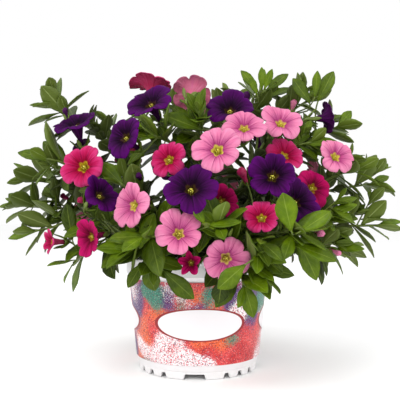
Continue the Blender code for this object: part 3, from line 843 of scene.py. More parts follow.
def finish_piece(piece, slot, *nodes):
    """Hands a finished piece over: it rides on the plant's one body and replaces these CAD nodes."""
    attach(piece, "root")
    if nodes:
        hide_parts(*nodes)
    return piece


def petal_slot(colour):
    return f"petals_{colour}"


def blade_pattern():
    """The flat unit blade that every leaf is bent from: x along it, y across, z 0 on top and -1 below."""
    steps = len(BLADE_STATIONS) - 1
    deselect()
    bpy.ops.mesh.primitive_grid_add(x_subdivisions=steps, y_subdivisions=BLADE_STRIPS, size=2)
    pattern = bpy.context.object
    pattern.name = "blade_pattern"
    for corner in pattern.data.vertices:
        corner.co.x = BLADE_STATIONS[round((corner.co.x + 1) / 2 * steps)]
    bpy.ops.object.mode_set(mode="EDIT")
    bpy.ops.mesh.select_all(action="SELECT")
    bpy.ops.mesh.extrude_region_move(TRANSFORM_OT_translate={"value": (0, 0, -1)})
    bpy.ops.object.mode_set(mode="OBJECT")
    close_shell()
    for face in pattern.data.polygons:
        face.material_index = BLADE_BACK if face.normal.z < -0.5 else BLADE_TOP
        face.use_smooth = True
    pattern.data.attributes.new("youth_and_shade", "FLOAT", "POINT")
    return pattern


def bent_blade(leaf, pattern):
    """A copy of the flat blade, bent into this leaf."""
    blade = own_copy(pattern)
    for corner in blade.data.vertices:
        u, v, level = corner.co
        corner.co = leaf.curved_point(u, v, -level)
    for corner in blade.data.attributes["youth_and_shade"].data:
        corner.value = leaf.youth_and_shade
    return blade


def stalk(name, points, radii, sides=8, resolution=3):
    """A smooth stalk through the points, as a closed mesh."""
    guide = bpy.data.curves.new(name, "CURVE")
    guide.dimensions = "3D"
    guide.bevel_depth = 1
    guide.bevel_resolution = sides // 4 - 1
    guide.use_fill_caps = True
    guide.resolution_u = resolution
    line = guide.splines.new("BEZIER")
    line.bezier_points.add(len(points) - 1)
    for knot, point, radius in zip(line.bezier_points, points, radii):
        knot.co = point
        knot.radius = radius
        knot.handle_left_type = knot.handle_right_type = "AUTO"
    make_active(add_object(name, guide))
    bpy.ops.object.convert(target="MESH")
    close_shell(0.01 * MM)
    bpy.ops.object.shade_smooth()
    return bpy.context.object


def shoot_stalk(shoot, sides=8, resolution=3):
    """The shoot's own stalk, thinning towards its tip."""
    count = len(shoot.points) - 1
    radii = [shoot.thick + (shoot.thin - shoot.thick) * k / count for k in range(count + 1)]
    return stalk("shoot", shoot.points, radii, sides, resolution)


def flower_stalk(bloom, points):
    """The stalk and, at its end, the green cup that the bloom's tube stands in."""
    middle = bloom.calyx_foot.lerp(bloom.calyx_top, 0.5)
    radii = [PEDICEL_RADIUS] * (len(points) - 1) + [PEDICEL_RADIUS * 1.3, CALYX_RADIUS * 0.85, CALYX_RADIUS]
    return stalk("flower_stalk", [*points, middle, bloom.calyx_top], radii, resolution=2)


def five_ways(axis, draw):
    """Five directions square to the axis, evenly round it but for a little chance."""
    for number in range(LOBES):
        yield swung(axis, number * math.tau / LOBES + draw.uniform(-0.2, 0.2))


def sepals(bloom):
    """The five narrow green sepals round the foot of a bloom's tube."""
    draw = random.Random(f"sepals {bloom.number}")
    for away in five_ways(bloom.facing, draw):
        lean = math.radians(draw.uniform(24, 46))
        along = (bloom.facing * math.cos(lean) + away * math.sin(lean)).normalized()
        root = bloom.calyx_foot + bloom.facing * 1.2 * MM + away * 1.1 * MM
        length = draw.uniform(8.5, 11.5) * MM
        leaf = Leaf(root, along, square_to(bloom.facing, along), length, -0.08, 0.75, 0.27)
        leaf.twist = draw.uniform(-0.3, 0.3)
        yield leaf


def bud_sepals(base, heading, draw):
    """Five short sepals that hold the foot of a bud."""
    for away in five_ways(heading, draw):
        along = (heading + away * draw.uniform(0.25, 0.5)).normalized()
        length = draw.uniform(5, 7) * MM
        yield Leaf(base + away * 0.5 * MM, along, square_to(heading, along), length, -0.06, 0.8, 0.3)


class Corolla:
    """The shape of one bloom's petals, in the bloom's own directions, with ruffles of its own."""

    def __init__(self, bloom):
        draw = random.Random(f"corolla {bloom.number}")
        self.radius = bloom.width / 2
        self.depth = bloom.depth
        self.sizes = [draw.uniform(0.86, 1.04) for _ in range(LOBES)]
        self.bends = [draw.uniform(-0.26, 0.12) for _ in range(LOBES)]
        self.waves = [(k, draw.uniform(0, math.tau), size * draw.uniform(0.5, 1.1)) for k, size in RUFFLES]
        self.curl = draw.uniform(0.0, 0.12)
        self.cleft = draw.uniform(0.18, 0.3)
        self.is_half_open = bloom.number in HALF_OPEN
        if self.is_half_open:
            self.cleft = 0.5
            self.bends = [0.2] * LOBES

    @staticmethod
    def lobe_at(angle):
        """The lobe at this angle, how far off its middle that is, from 0 to 1, and to which side."""
        place = angle / math.tau * LOBES
        return int(place) % LOBES, abs(place % 1 - 0.5) * 2, 1 if place % 1 > 0.5 else -1

    def blended(self, values, angle):
        """A value that each lobe has for itself, running over smoothly into the next lobe's."""
        lobe, off, side = self.lobe_at(angle)
        neighbour = values[(lobe + side) % LOBES]
        return values[lobe] + (neighbour - values[lobe]) * 0.5 * off**3

    def rim(self, angle):
        """The rim's share of the full radius: round lobes, a little notched, or pointed if half open."""
        off = self.lobe_at(angle)[1]
        roundness = 1 - off**1.4 if self.is_half_open else (1 - off**3.4) ** 0.6
        notch = 0 if self.is_half_open else 0.035 * bell(off, 0.15)
        return self.blended(self.sizes, angle) * (1 - self.cleft * (1 - roundness) - notch)

    def rise(self, angle, share):
        """How far the petals rise above the profile here, as a share of the radius."""
        off = self.lobe_at(angle)[1]
        ruffle = sum(size * math.sin(k * angle + start) for k, start, size in self.waves)
        bend = self.blended(self.bends, angle) * (1 - off**2)
        valley = -0.055 * bell(1 - off, 0.2)
        crease = -0.03 * bell(off, 0.12)
        outer = (ruffle + bend - self.curl * share**3) * share**2.2
        return outer + (valley + crease) * share * (1.2 - share) * 2

    def petal_point(self, angle, share, height, drop):
        """How far out and how high the petals' face is here, or as much lower as the drop says."""
        star = 1 + 0.13 * math.cos(LOBES * angle + math.pi) * bell(share - 0.2, 0.12)
        reach = self.radius * share * star * (1 - (1 - self.rim(angle)) * share**2.5)
        level = self.radius * (height + (self.rise(angle, share) if share > 0.25 else 0)) - drop
        return reach, level

    def tube_point(self, share, down):
        """How far out and how high the tube is, this share of its way down from the throat."""
        throat = 0.3 * self.radius
        return max(TUBE_RADIUS, share * self.radius), -throat - down * (self.depth - throat)

    def point(self, angle, station):
        """The point at this angle: out along the face, back behind it, down the tube and into its foot."""
        behind = station - len(FACE_PROFILE)
        down = behind - len(BACK_PROFILE)
        if behind < 0:
            reach, level = self.petal_point(angle, *FACE_PROFILE[station], 0)
        elif down < 0:
            reach, level = self.petal_point(angle, *BACK_PROFILE[behind], PETAL_EDGE)
        elif down < len(TUBE_PROFILE):
            reach, level = self.tube_point(*TUBE_PROFILE[down])
        else:
            reach, level = 0.0, self.tube_point(0.0, 1.0)[1]
        return Vector((reach * math.cos(angle), reach * math.sin(angle), level))


def make_corolla(bloom):
    """The petals: a grid rolled into a trumpet, round it by x and from throat to foot by y."""
    corolla = Corolla(bloom)
    last = STATIONS - 1
    deselect()
    bpy.ops.mesh.primitive_grid_add(x_subdivisions=PETAL_SIDES, y_subdivisions=last, size=2)
    petals = bpy.context.object
    for corner in petals.data.vertices:
        angle = (corner.co.x + 1) / 2 * math.tau
        station = round((corner.co.y + 1) / 2 * last)
        corner.co = corolla.point(angle, station)
    close_shell(0.02 * MM)
    bpy.ops.object.shade_smooth()
    return petals


def stamen_pattern():
    """The stamens and the stigma deep in the throat, for a bloom one radius wide."""
    parts = []
    for number in range(LOBES + 1):
        is_stigma = number == LOBES
        swing = number * math.tau / LOBES + 0.3
        off = 0.02 if is_stigma else 0.06 + 0.012 * (number % 3)
        top = -0.3 if is_stigma else -0.34 - 0.02 * (number % 2)
        middle = (off * math.cos(swing), off * math.sin(swing))
        deselect()
        bpy.ops.mesh.primitive_uv_sphere_add(segments=8, ring_count=5, radius=1, location=(*middle, top))
        head = bpy.context.object
        head.scale = (0.036, 0.036, 0.022) if is_stigma else (0.026, 0.026, 0.036)
        bpy.ops.object.transform_apply(location=True, rotation=False, scale=True)
        thread = {"radius1": 0.014, "radius2": 0.01, "depth": 0.28}
        bpy.ops.mesh.primitive_cone_add(vertices=6, **thread, location=(*middle, top - 0.15))
        bpy.ops.object.transform_apply(location=True, rotation=False, scale=True)
        parts += [head, bpy.context.object]
    pattern = join(parts, "stamen_pattern")
    bpy.ops.object.shade_smooth()
    return pattern


def make_bloom(bloom, stamens, petal_finish, heart_finish):
    """A whole bloom: its petals with the stamens in their throat, set in its place."""
    petals = with_finishes(make_corolla(bloom), [petal_finish])
    heart = with_finishes(own_copy(stamens), [heart_finish])
    heart.data.transform(Matrix.Scale(bloom.width / 2, 4))
    flower = join([petals, heart], bloom.flower_name)
    flower.data.transform(Matrix.LocRotScale(bloom.centre, bloom.turn, None))
    return finish_piece(flower, petal_slot(bloom.colour), bloom.name)


def fluted_trumpet(name, base, heading, length):
    """A furled bud's petals: a narrow trumpet from its base, with twisted flutes."""
    spine = [base + heading * length * share for share, _ in BUD_SHAPE]
    trumpet = stalk(name, spine, [length * wide for _, wide in BUD_SHAPE], sides=12)
    across = heading.orthogonal().normalized()
    other = heading.cross(across)
    for corner in trumpet.data.vertices:
        off = corner.co - base
        along = off.dot(heading) / length
        off -= heading * off.dot(heading)
        swing = math.atan2(off.dot(other), off.dot(across))
        fluting = 0.16 * math.sin(LOBES * swing + 9 * along)
        corner.co += off * fluting * min(1.0, max(0.0, along * 2 - 0.4))
    return trumpet


def make_bud(number, shoots, pattern, greens, bud_finish):
    """A furled bud on its own thin stalk, from the nearest shoot."""
    colour, tip, heading, length = BUDS[number]
    draw = random.Random(f"bud {number}")
    heading = Vector(heading).normalized()
    base = Vector(tip) * MM - heading * length * MM
    root, leaving = nearest_root(shoots, base, closest_stem(shoots, base))
    reach = (root - base).length
    path = arch(root, leaving * 0.3 * reach, base, heading * 0.4 * reach, 6)
    thread = stalk(f"bud_stalk_{number}", path, [BUD_STALK_RADIUS] * len(path))
    trumpet = fluted_trumpet(f"bud_{number}", base, heading, length * MM)
    for part in (thread, trumpet):
        with_finishes(part, [*greens, bud_finish])
    for face in trumpet.data.polygons:
        face.material_index = BUD_PETALS
    sepal_blades = [bent_blade(leaf, pattern) for leaf in bud_sepals(base, heading, draw)]
    whole = join([thread, trumpet, *sepal_blades], f"bud_{number + 1:02d}_{colour}")
    return finish_piece(whole, petal_slot(colour))


class Plant:
    """The plant as it grows: its shoots, its blooms and their stalks, its sprigs and its free places."""

    def __init__(self):
        self.shoots = grow_shoots()
        self.blooms = [Bloom(number, *facts) for number, facts in enumerate(BLOOMS, 1)]
        self.finders = {stem: corner_finder(f"stem_{stem}") for stem in STEMS}
        self.clearings = Clearings(self.blooms)
        self.sprigs = front_sprigs(self.shoots)
        self.stalks = {stem: [] for stem in STEMS}
        for bloom in self.blooms:
            shoot, points = modelled_stalk(bloom, self.shoots, self.finders)
            self.stalks[shoot.stem].append((bloom, points))

    def leaves_of(self, stem, shoots, twigs, sprigs):
        """The stem's sepals, the model's own leaves, the older ones, and those of its twigs and sprigs."""
        leaves = [leaf for bloom, _ in self.stalks[stem] for leaf in sepals(bloom)]
        for shoot in shoots:
            leaves += modelled_leaves(shoot, self.finders[stem])
            leaves += old_leaves(shoot, self.clearings)
        for twig in twigs:
            leaves += twig_leaves(twig, self.clearings)
        for sprig in sprigs:
            leaves += sprig_leaves(sprig, self.clearings)
        return leaves

    def make_leafy_stem(self, stem, pattern, greens):
        """A whole leafy stem: its shoots, twigs, flower stalks, sepals and leaves."""
        shoots = [shoot for shoot in self.shoots if shoot.stem == stem]
        twigs = [twig for shoot in shoots for twig in side_twigs(shoot, self.clearings)]
        sprigs = [sprig for sprig in self.sprigs if sprig.stem == stem]
        green_stalks = [shoot_stalk(shoot) for shoot in shoots]
        green_stalks += [shoot_stalk(twig, sides=4, resolution=2) for twig in twigs]
        green_stalks += [shoot_stalk(sprig) for sprig in sprigs]
        green_stalks += [flower_stalk(bloom, points) for bloom, points in self.stalks[stem]]
        leaves = self.leaves_of(stem, shoots, twigs, sprigs)
        for leaf, path in front_leaves(stem, self.shoots + self.sprigs, self.clearings):
            leaves.append(leaf)
            green_stalks.append(stalk("leaf_stalk", path, [LEAF_STALK_RADIUS] * len(path), sides=4))
        for piece in green_stalks:
            piece.data.attributes.new("youth_and_shade", "FLOAT", "POINT")
            with_finishes(piece, greens)
        blades = [bent_blade(leaf, pattern) for leaf in leaves]
        whole = join(green_stalks + blades, f"leafy_stem_{stem}")
        return finish_piece(whole, "foliage", f"stem_{stem}")


class Finish:
    """A material in the making: its shader, and short ways to add the nodes of its pattern."""

    def __init__(self, name, roughness, **constants):
        self.material = bpy.data.materials.new(name)
        self.material.use_nodes = True
        self.tree = self.material.node_tree
        self.shader = self.tree.nodes["Principled BSDF"]
        self.shader.inputs["Roughness"].default_value = roughness
        for socket, value in constants.items():
            self.shader.inputs[socket.replace("_", " ")].default_value = value

    def feed(self, socket, value):
        """Links the socket to a node's output, or sets it to a plain value."""
        if isinstance(value, bpy.types.NodeSocket):
            self.tree.links.new(value, socket)
        else:
            socket.default_value = value

    def node(self, kind, **settings):
        made = self.tree.nodes.new(kind)
        for setting, value in settings.items():
            setattr(made, setting, value)
        return made

    def math(self, operation, *values, clamp=False):
        made = self.node("ShaderNodeMath", operation=operation, use_clamp=clamp)
        for socket, value in zip(made.inputs, values):
            self.feed(socket, value)
        return made.outputs[0]

    def plus(self, first, second):
        return self.math("ADD", first, second)

    def minus(self, first, second):
        return self.math("SUBTRACT", first, second)

    def times(self, first, second):
        return self.math("MULTIPLY", first, second)

    def size(self, value):
        return self.math("ABSOLUTE", value)

    def between(self, value, low, high):
        """0 where the value is at low, 1 where it is at high, and smooth between them."""
        made = self.node("ShaderNodeMapRange", interpolation_type="SMOOTHSTEP")
        self.feed(made.inputs["Value"], value)
        made.inputs["From Min"].default_value = low
        made.inputs["From Max"].default_value = high
        return made.outputs["Result"]

    def mix(self, factor, first, second, blend="MIX"):
        """From the first colour to the second. The Mix node's colour sockets have no names of their own."""
        made = self.node("ShaderNodeMix", data_type="RGBA", blend_type=blend)
        for socket, value in ((0, factor), (6, first), (7, second)):
            self.feed(made.inputs[socket], value)
        return made.outputs[2]

    def tint(self, base, colour, where, strength, blend="MIX"):
        """The base, coloured by up to this strength where the mask is 1."""
        return self.mix(self.times(where, strength), base, colour, blend)

    def noise(self, vector, scale, detail=2.0, roughness=0.5):
        made = self.node("ShaderNodeTexNoise")
        self.tree.links.new(vector, made.inputs["Vector"])
        made.inputs["Scale"].default_value = scale
        made.inputs["Detail"].default_value = detail
        made.inputs["Roughness"].default_value = roughness
        return made.outputs["Fac"]

    def patches(self, vector, scale, low, high, detail=2.0, roughness=0.5):
        """Soft-edged patches: 1 where the noise is past high and 0 where it is short of low."""
        return self.between(self.noise(vector, scale, detail, roughness), low, high)

    def cells(self, vector, scale):
        made = self.node("ShaderNodeTexVoronoi")
        self.tree.links.new(vector, made.inputs["Vector"])
        made.inputs["Scale"].default_value = scale
        return made.outputs["Distance"]

    def ramp(self, value, stops):
        made = self.node("ShaderNodeValToRGB")
        self.tree.links.new(value, made.inputs["Fac"])
        elements = made.color_ramp.elements
        while len(elements) < len(stops):
            elements.new(1.0)
        for element, (place, colour) in zip(elements, stops):
            element.position = place
            element.color = colour
        return made.outputs["Color"]

    def place(self):
        return self.node("ShaderNodeTexCoord").outputs["Object"]

    def parts(self, vector):
        made = self.node("ShaderNodeSeparateXYZ")
        self.tree.links.new(vector, made.inputs[0])
        return made.outputs

    def sheet(self):
        """The two directions of the piece's own UV map."""
        return self.parts(self.node("ShaderNodeTexCoord").outputs["UV"])[:2]

    def bump(self, height, distance, strength=1.0):
        made = self.node("ShaderNodeBump")
        self.feed(made.inputs["Height"], height)
        made.inputs["Distance"].default_value = distance
        made.inputs["Strength"].default_value = strength
        self.tree.links.new(made.outputs["Normal"], self.shader.inputs["Normal"])

    def colour(self, value):
        """Gives the shader its colour, which ends the making."""
        self.feed(self.shader.inputs["Base Color"], value)
        return self.material


def rgb(red, green, blue):
    """The shader's colour for one named by its screen values from 0 to 255."""
    def linear(value):
        share = value / 255
        return share / 12.92 if share <= 0.04045 else ((share + 0.055) / 1.055) ** 2.4

    return (linear(red), linear(green), linear(blue), 1.0)


# Petal colours: the throat's depth and its rim, the ring round its mouth, the petal near it, in its middle
# and at its edge, the veins and the back. Near the throat the petal is darker partly in its own colour and
# partly with painted shade in the funnel; at its edge it is paler partly in its own colour and partly with a
# painted sheen
PETALS = {
    "purple": {
        "depth": rgb(104, 88, 14),
        "throat_rim": rgb(70, 52, 14),
        "ring": rgb(28, 2, 22),
        "near": rgb(24, 0, 28),
        "middle": rgb(54, 0, 62),
        "edge": rgb(82, 6, 98),
        "vein": rgb(10, 0, 14),
        "back": rgb(62, 14, 68),
    },
    "rose": {
        "depth": rgb(160, 152, 16),
        "throat_rim": rgb(182, 168, 22),
        "ring": rgb(132, 12, 34),
        "near": rgb(140, 4, 52),
        "middle": rgb(166, 24, 82),
        "edge": rgb(190, 64, 122),
        "vein": rgb(84, 0, 32),
        "back": rgb(160, 54, 88),
    },
    "blush": {
        "depth": rgb(184, 178, 30),
        "throat_rim": rgb(204, 198, 56),
        "ring": rgb(144, 48, 104),
        "near": rgb(164, 74, 120),
        "middle": rgb(193, 110, 144),
        "edge": rgb(210, 134, 164),
        "vein": rgb(114, 12, 76),
        "back": rgb(176, 100, 118),
    },
    "magenta": {
        "depth": rgb(144, 130, 14),
        "throat_rim": rgb(150, 130, 14),
        "ring": rgb(84, 2, 28),
        "near": rgb(104, 0, 42),
        "middle": rgb(148, 2, 74),
        "edge": rgb(174, 22, 96),
        "vein": rgb(66, 0, 26),
        "back": rgb(128, 28, 72),
    },
}

# Where each colour lies along the petals, as a station of their profiles
LAST_STATION = STATIONS - 1
PETAL_BANDS = (
    (0.0, "depth"),
    (1.8, "depth"),
    (2.8, "throat_rim"),
    (3.4, "throat_rim"),
    (4.5, "ring"),
    (5.9, "near"),
    (8.0, "middle"),
    (11.2, "edge"),
    (12.0, "back"),
    (LAST_STATION, "back"),
)


def petal_veins(look, along, turn, off_middle):
    """Dark veins: one down each lobe's middle, one between lobes, and fine ones near the throat."""
    fades = look.between(along, 11.0 / LAST_STATION, 5.5 / LAST_STATION)
    near_throat = look.between(along, 9.0 / LAST_STATION, 4.6 / LAST_STATION)
    starts = look.between(along, 4.0 / LAST_STATION, 4.8 / LAST_STATION)
    lobe_vein = look.times(look.between(off_middle, 0.035, 0.005), look.plus(fades, 0.15))
    seam_vein = look.times(look.between(look.minus(0.5, off_middle), 0.04, 0.005), fades)
    fine = look.size(look.math("SINE", look.times(turn, math.pi * 5)))
    fine_vein = look.times(look.between(fine, 0.45, 0.0), look.times(near_throat, 0.8))
    veins = look.math("MAXIMUM", look.math("MAXIMUM", lobe_vein, seam_vein), fine_vein)
    return look.math("MULTIPLY", veins, starts, clamp=True)


def petal_streaks(look, place, across, along):
    """Noise drawn out along the petals, a little different on every bloom."""
    swing = look.times(across, math.tau)
    round_it = look.node("ShaderNodeCombineXYZ")
    look.feed(round_it.inputs["X"], look.times(look.math("COSINE", swing), 5.5))
    look.feed(round_it.inputs["Y"], look.times(look.math("SINE", swing), 5.5))
    look.feed(round_it.inputs["Z"], look.times(along, 2.5))
    own = look.node("ShaderNodeVectorMath", operation="MULTIPLY_ADD")
    for socket, value in zip(own.inputs, (place, (25, 25, 25), round_it.outputs[0])):
        look.feed(socket, value)
    return look.noise(own.outputs[0], scale=1.0, detail=3, roughness=0.65)


def petal_looks(colour):
    """Velvety petals: a bright throat in a dark ring, veins, streaks of painted shade and painted highlight,
    and blotches of painted light.
    """
    paint = PETALS[colour]
    look = Finish(f"petal_{colour}", roughness=0.6, Specular_IOR_Level=0.05)
    across, along = look.sheet()
    place = look.place()
    blotches = look.noise(place, scale=160, detail=3)
    wobble = look.times(look.minus(look.noise(place, scale=700, detail=1), 0.5), 0.012)
    turn = look.times(look.plus(across, wobble), LOBES)
    off_middle = look.size(look.minus(look.math("FRACT", turn), 0.5))
    star = look.times(look.minus(off_middle, 0.25), 0.05)
    spread = look.times(look.minus(blotches, 0.5), 0.09)
    bands = [(station / LAST_STATION, paint[part]) for station, part in PETAL_BANDS]
    base = look.ramp(look.plus(along, look.plus(spread, star)), bands)
    veins = petal_veins(look, along, turn, off_middle)
    streaks = petal_streaks(look, place, across, along)
    base = look.tint(base, paint["near"], look.patches(place, 17, 0.3, 0.7, detail=1), 0.25)
    # Painted shade in the darker streaks and painted highlight in the paler ones
    base = look.tint(base, paint["near"], look.between(streaks, 0.48, 0.68), 0.5)
    base = look.tint(base, paint["edge"], look.between(streaks, 0.48, 0.3), 0.4)
    veined = look.tint(base, paint["vein"], veins, 0.85)
    # Painted light in soft blotches over the petals
    shaded = look.tint(veined, paint["edge"], look.between(blotches, 0.35, 0.75), 0.3, "SOFT_LIGHT")
    velvet = look.minus(look.times(look.cells(place, scale=2600), 0.3), veins)
    look.bump(look.plus(velvet, look.times(streaks, 3.0)), distance=0.22 * MM, strength=0.8)
    return look.colour(shaded)


def bud_looks(colour):
    """A furled bud: the petals' back and middle colours, with dark streaks."""
    paint = PETALS[colour]
    look = Finish(f"bud_{colour}", roughness=0.6, Specular_IOR_Level=0.1)
    place = look.place()
    petals = look.mix(look.patches(place, 260, 0.35, 0.65), paint["back"], paint["middle"])
    look.bump(look.noise(place, scale=900), distance=0.15 * MM, strength=0.6)
    return look.colour(look.mix(look.patches(place, 600, 0.55, 0.7, detail=3), petals, paint["near"]))


# Greens, from the youngest leaf to the oldest and innermost, the darker ones partly painted shade, with the
# painted shade of patches on every leaf, then the stamens, the pot, the peat with painted shade between its
# crumbs, and the perlite
YOUNG_GREEN = rgb(92, 116, 0)
LEAF_GREEN = rgb(76, 96, 4)
OLD_AND_SHADED_GREEN = rgb(42, 56, 6)
DEEPEST_SHADE_GREEN = rgb(22, 32, 6)
SHADED_GREEN = rgb(30, 42, 6)
MOTTLED_GREEN = rgb(70, 92, 20)
VEIN_GREEN = rgb(140, 158, 64)
BACK_GREEN = rgb(98, 110, 44)
BACK_RIB_GREEN = rgb(160, 176, 104)
STALK_GREENS = (rgb(66, 84, 22), rgb(108, 124, 44))
POLLEN = (rgb(214, 212, 90), rgb(176, 160, 30))
POT_WHITES = (rgb(228, 226, 229), rgb(238, 237, 238))
DUST = rgb(196, 190, 182)
PEATS = (rgb(34, 24, 17), rgb(78, 58, 42))
PEAT_GAP_SHADE = rgb(20, 14, 10)
PERLITES = (rgb(176, 168, 154), rgb(222, 216, 204))
FLOOR_PALES = (rgb(250, 250, 250), rgb(253, 253, 253))


def heart_looks():
    """Pale yellow stamens with a grain of pollen."""
    look = Finish("stamens", roughness=0.6)
    place = look.place()
    look.bump(look.cells(place, scale=3000), distance=0.1 * MM, strength=0.6)
    return look.colour(look.mix(look.patches(place, 900, 0.35, 0.65), *POLLEN))


def leaf_base(look):
    """The leaf's green by its youth and painted shade, which every leaf carries as an attribute: bright when
    young and near the outside, darker when old, darkest with painted shade deep inside the plant.
    """
    youth_and_shade = look.node("ShaderNodeAttribute", attribute_name="youth_and_shade").outputs["Fac"]
    # From the painted shade deep inside the plant, through the old leaves, to the bright young ones
    return look.ramp(youth_and_shade, ((0.0, DEEPEST_SHADE_GREEN), (0.25, OLD_AND_SHADED_GREEN), (0.6, LEAF_GREEN), (1.0, YOUNG_GREEN)))


def stalk_looks():
    look = Finish("green_stalk", roughness=0.55)
    place = look.place()
    look.bump(look.noise(place, scale=1800), distance=0.15 * MM, strength=0.6)
    return look.colour(look.mix(look.noise(place, scale=500, detail=3), *STALK_GREENS))


def blade_looks():
    """A leaf's upper face: mottled, with a sunken pale rib and pale side veins."""
    look = Finish("leaf_blade", roughness=0.45, Specular_IOR_Level=0.16)
    along, across = look.sheet()
    place = look.place()
    off_rib = look.size(look.minus(across, 0.5))
    rib = look.between(off_rib, 0.05, 0.0)
    slant = look.plus(along, look.times(off_rib, -0.55))
    side = look.size(look.math("SINE", look.times(slant, math.pi * 8)))
    veins = look.math("MAXIMUM", rib, look.times(look.between(side, 0.22, 0.0), 0.4))
    mottling = look.patches(place, 220, 0.3, 0.7, detail=3)
    mottled = look.tint(leaf_base(look), MOTTLED_GREEN, mottling, 0.5, "SOFT_LIGHT")
    shaded = look.tint(mottled, SHADED_GREEN, look.patches(place, 45, 0.42, 0.62), 0.3)
    grain = look.times(look.noise(place, scale=1500), 0.3)
    look.bump(look.minus(grain, veins), distance=0.25 * MM, strength=0.55)
    return look.colour(look.tint(shaded, VEIN_GREEN, veins, 0.32))


def blade_back_looks():
    """A leaf's underside: paler, with a raised rib."""
    look = Finish("leaf_back", roughness=0.6)
    across = look.sheet()[1]
    rib = look.between(look.size(look.minus(across, 0.5)), 0.06, 0.0)
    pale = look.mix(0.35, leaf_base(look), BACK_GREEN)
    grain = look.times(look.noise(look.place(), scale=1500), 0.4)
    look.bump(look.plus(rib, grain), distance=0.3 * MM, strength=0.7)
    return look.colour(look.tint(pale, BACK_RIB_GREEN, rib, 0.5))


def pot_looks():
    """Matt white polypropylene with a faint moulded grain, a little dusty towards its foot."""
    look = Finish("white_pot_plastic", roughness=0.42)
    place = look.place()
    height = look.parts(place)[2]
    low_down = look.between(height, 14 * MM, 0.0)
    dust = look.times(low_down, look.noise(place, scale=140, detail=4, roughness=0.7))
    white = look.mix(look.noise(place, scale=60, detail=3), *POT_WHITES)
    look.bump(look.noise(place, scale=1400), distance=0.03 * MM, strength=0.5)
    return look.colour(look.tint(white, DUST, dust, 0.45))


def soil_looks():
    look = Finish("peat", roughness=0.95)
    place = look.place()
    crumbs = look.cells(place, scale=420)
    peat = look.mix(look.noise(place, scale=260, detail=5, roughness=0.7), *PEATS)
    look.bump(look.plus(crumbs, look.noise(place, scale=900, detail=4, roughness=0.7)), distance=0.8 * MM)
    # Painted shade in the gaps between the crumbs
    return look.colour(look.mix(look.between(crumbs, 0.5, 0.9), peat, PEAT_GAP_SHADE))


def perlite_looks():
    look = Finish("perlite", roughness=0.85)
    place = look.place()
    look.bump(look.noise(place, scale=1600, detail=3), distance=0.2 * MM, strength=0.8)
    return look.colour(look.mix(look.noise(place, scale=700, detail=3), *PERLITES))


# The sleeve's print: sprayed inks in soft patches, speckled paper between them, and bare white ovals with a
# line round them, one in front and one on each side
OVAL_HALF_WIDTH = 30.5 * MM
OVAL_HALF_HEIGHT = 10.3 * MM
OVAL_HEIGHT = 36.4 * MM
OVAL_LINE = 0.9 * MM
OVAL_TURN = math.radians(2)
SIDE_OVALS = math.radians(98)
CORALS = (rgb(196, 24, 30), rgb(222, 66, 66))
ORANGE = rgb(226, 92, 36)
VIOLET = rgb(74, 32, 104)
TEAL = rgb(30, 122, 98)
PAPER = rgb(250, 244, 246)
PAPER_SPECK = rgb(214, 60, 80)
PALE_SPECK = rgb(250, 226, 222)
DARK_SPECK = rgb(84, 12, 52)
OVAL_RED = rgb(142, 8, 14)
OVAL_WHITE = rgb(238, 234, 237)


def oval_share(look, arc, height):
    """1 on the outline of an oval, less inside it and more outside."""
    x = look.math("DIVIDE", arc, OVAL_HALF_WIDTH)
    y = look.math("DIVIDE", look.minus(height, OVAL_HEIGHT), OVAL_HALF_HEIGHT)
    return look.math("SQRT", look.plus(look.times(x, x), look.times(y, y)))


def sprayed(look, place, seed, scale, low, high, grain):
    """A soft patch of spray: a slow noise whose edge breaks up in grains."""
    shift = look.node("ShaderNodeMapping")
    look.tree.links.new(place, shift.inputs["Vector"])
    shift.inputs["Location"].default_value = (seed * 0.7, seed * 0.3, seed)
    slow = look.noise(shift.outputs["Vector"], scale, detail=1)
    return look.between(look.plus(slow, look.times(look.minus(grain, 0.5), 0.24)), low, high)


def spray_pattern(look, place):
    """The inks over each other, the speckled paper, and then fine pale and dark specks over everything."""
    grain = look.noise(place, scale=1500, detail=2, roughness=0.7)
    coral = look.mix(look.patches(place, 90, 0.35, 0.65), *CORALS)
    orange = sprayed(look, place, 1.3, 34, 0.53, 0.62, grain)
    violet = sprayed(look, place, 4.1, 30, 0.52, 0.58, grain)
    teal = sprayed(look, place, 7.7, 30, 0.57, 0.62, grain)
    paper = sprayed(look, place, 2.9, 32, 0.54, 0.6, grain)
    inks = look.mix(orange, coral, ORANGE)
    inks = look.mix(violet, inks, VIOLET)
    inks = look.mix(teal, inks, TEAL)
    speckled = look.mix(look.patches(place, 1150, 0.53, 0.6, roughness=0.6), PAPER, PAPER_SPECK)
    printed = look.tint(inks, speckled, paper, 0.95)
    printed = look.tint(printed, PALE_SPECK, look.patches(place, 1500, 0.58, 0.64, detail=1), 0.25)
    return look.tint(printed, DARK_SPECK, look.patches(place, 1050, 0.585, 0.63, detail=1), 0.75)


def print_looks():
    """The sleeve's print: the spray, and bare ovals in front and on both sides, each with a line round it."""
    look = Finish("sleeve_print", roughness=0.38)
    place = look.place()
    x, y, height = look.parts(place)
    angle = look.math("ARCTAN2", x, look.times(y, -1))
    from_front = look.size(look.minus(angle, OVAL_TURN))
    radius = (WALL_TOP_RADIUS + WALL_FOOT_RADIUS) / 2 + GAP + SLEEVE_THICKNESS
    front = oval_share(look, look.times(from_front, radius), height)
    side = oval_share(look, look.times(look.minus(from_front, SIDE_OVALS), radius), height)
    nearest = look.math("MINIMUM", front, side)
    line = OVAL_LINE / OVAL_HALF_WIDTH
    near_oval = look.between(nearest, 1 + 2.2 * line, 1 + 1.9 * line)
    inside = look.between(nearest, 1.0 - 0.6 * line, 1.0 - 0.9 * line)
    outlined = look.mix(near_oval, spray_pattern(look, place), OVAL_RED)
    look.bump(look.noise(place, scale=700), distance=0.02 * MM, strength=0.3)
    return look.colour(look.mix(inside, outlined, OVAL_WHITE))


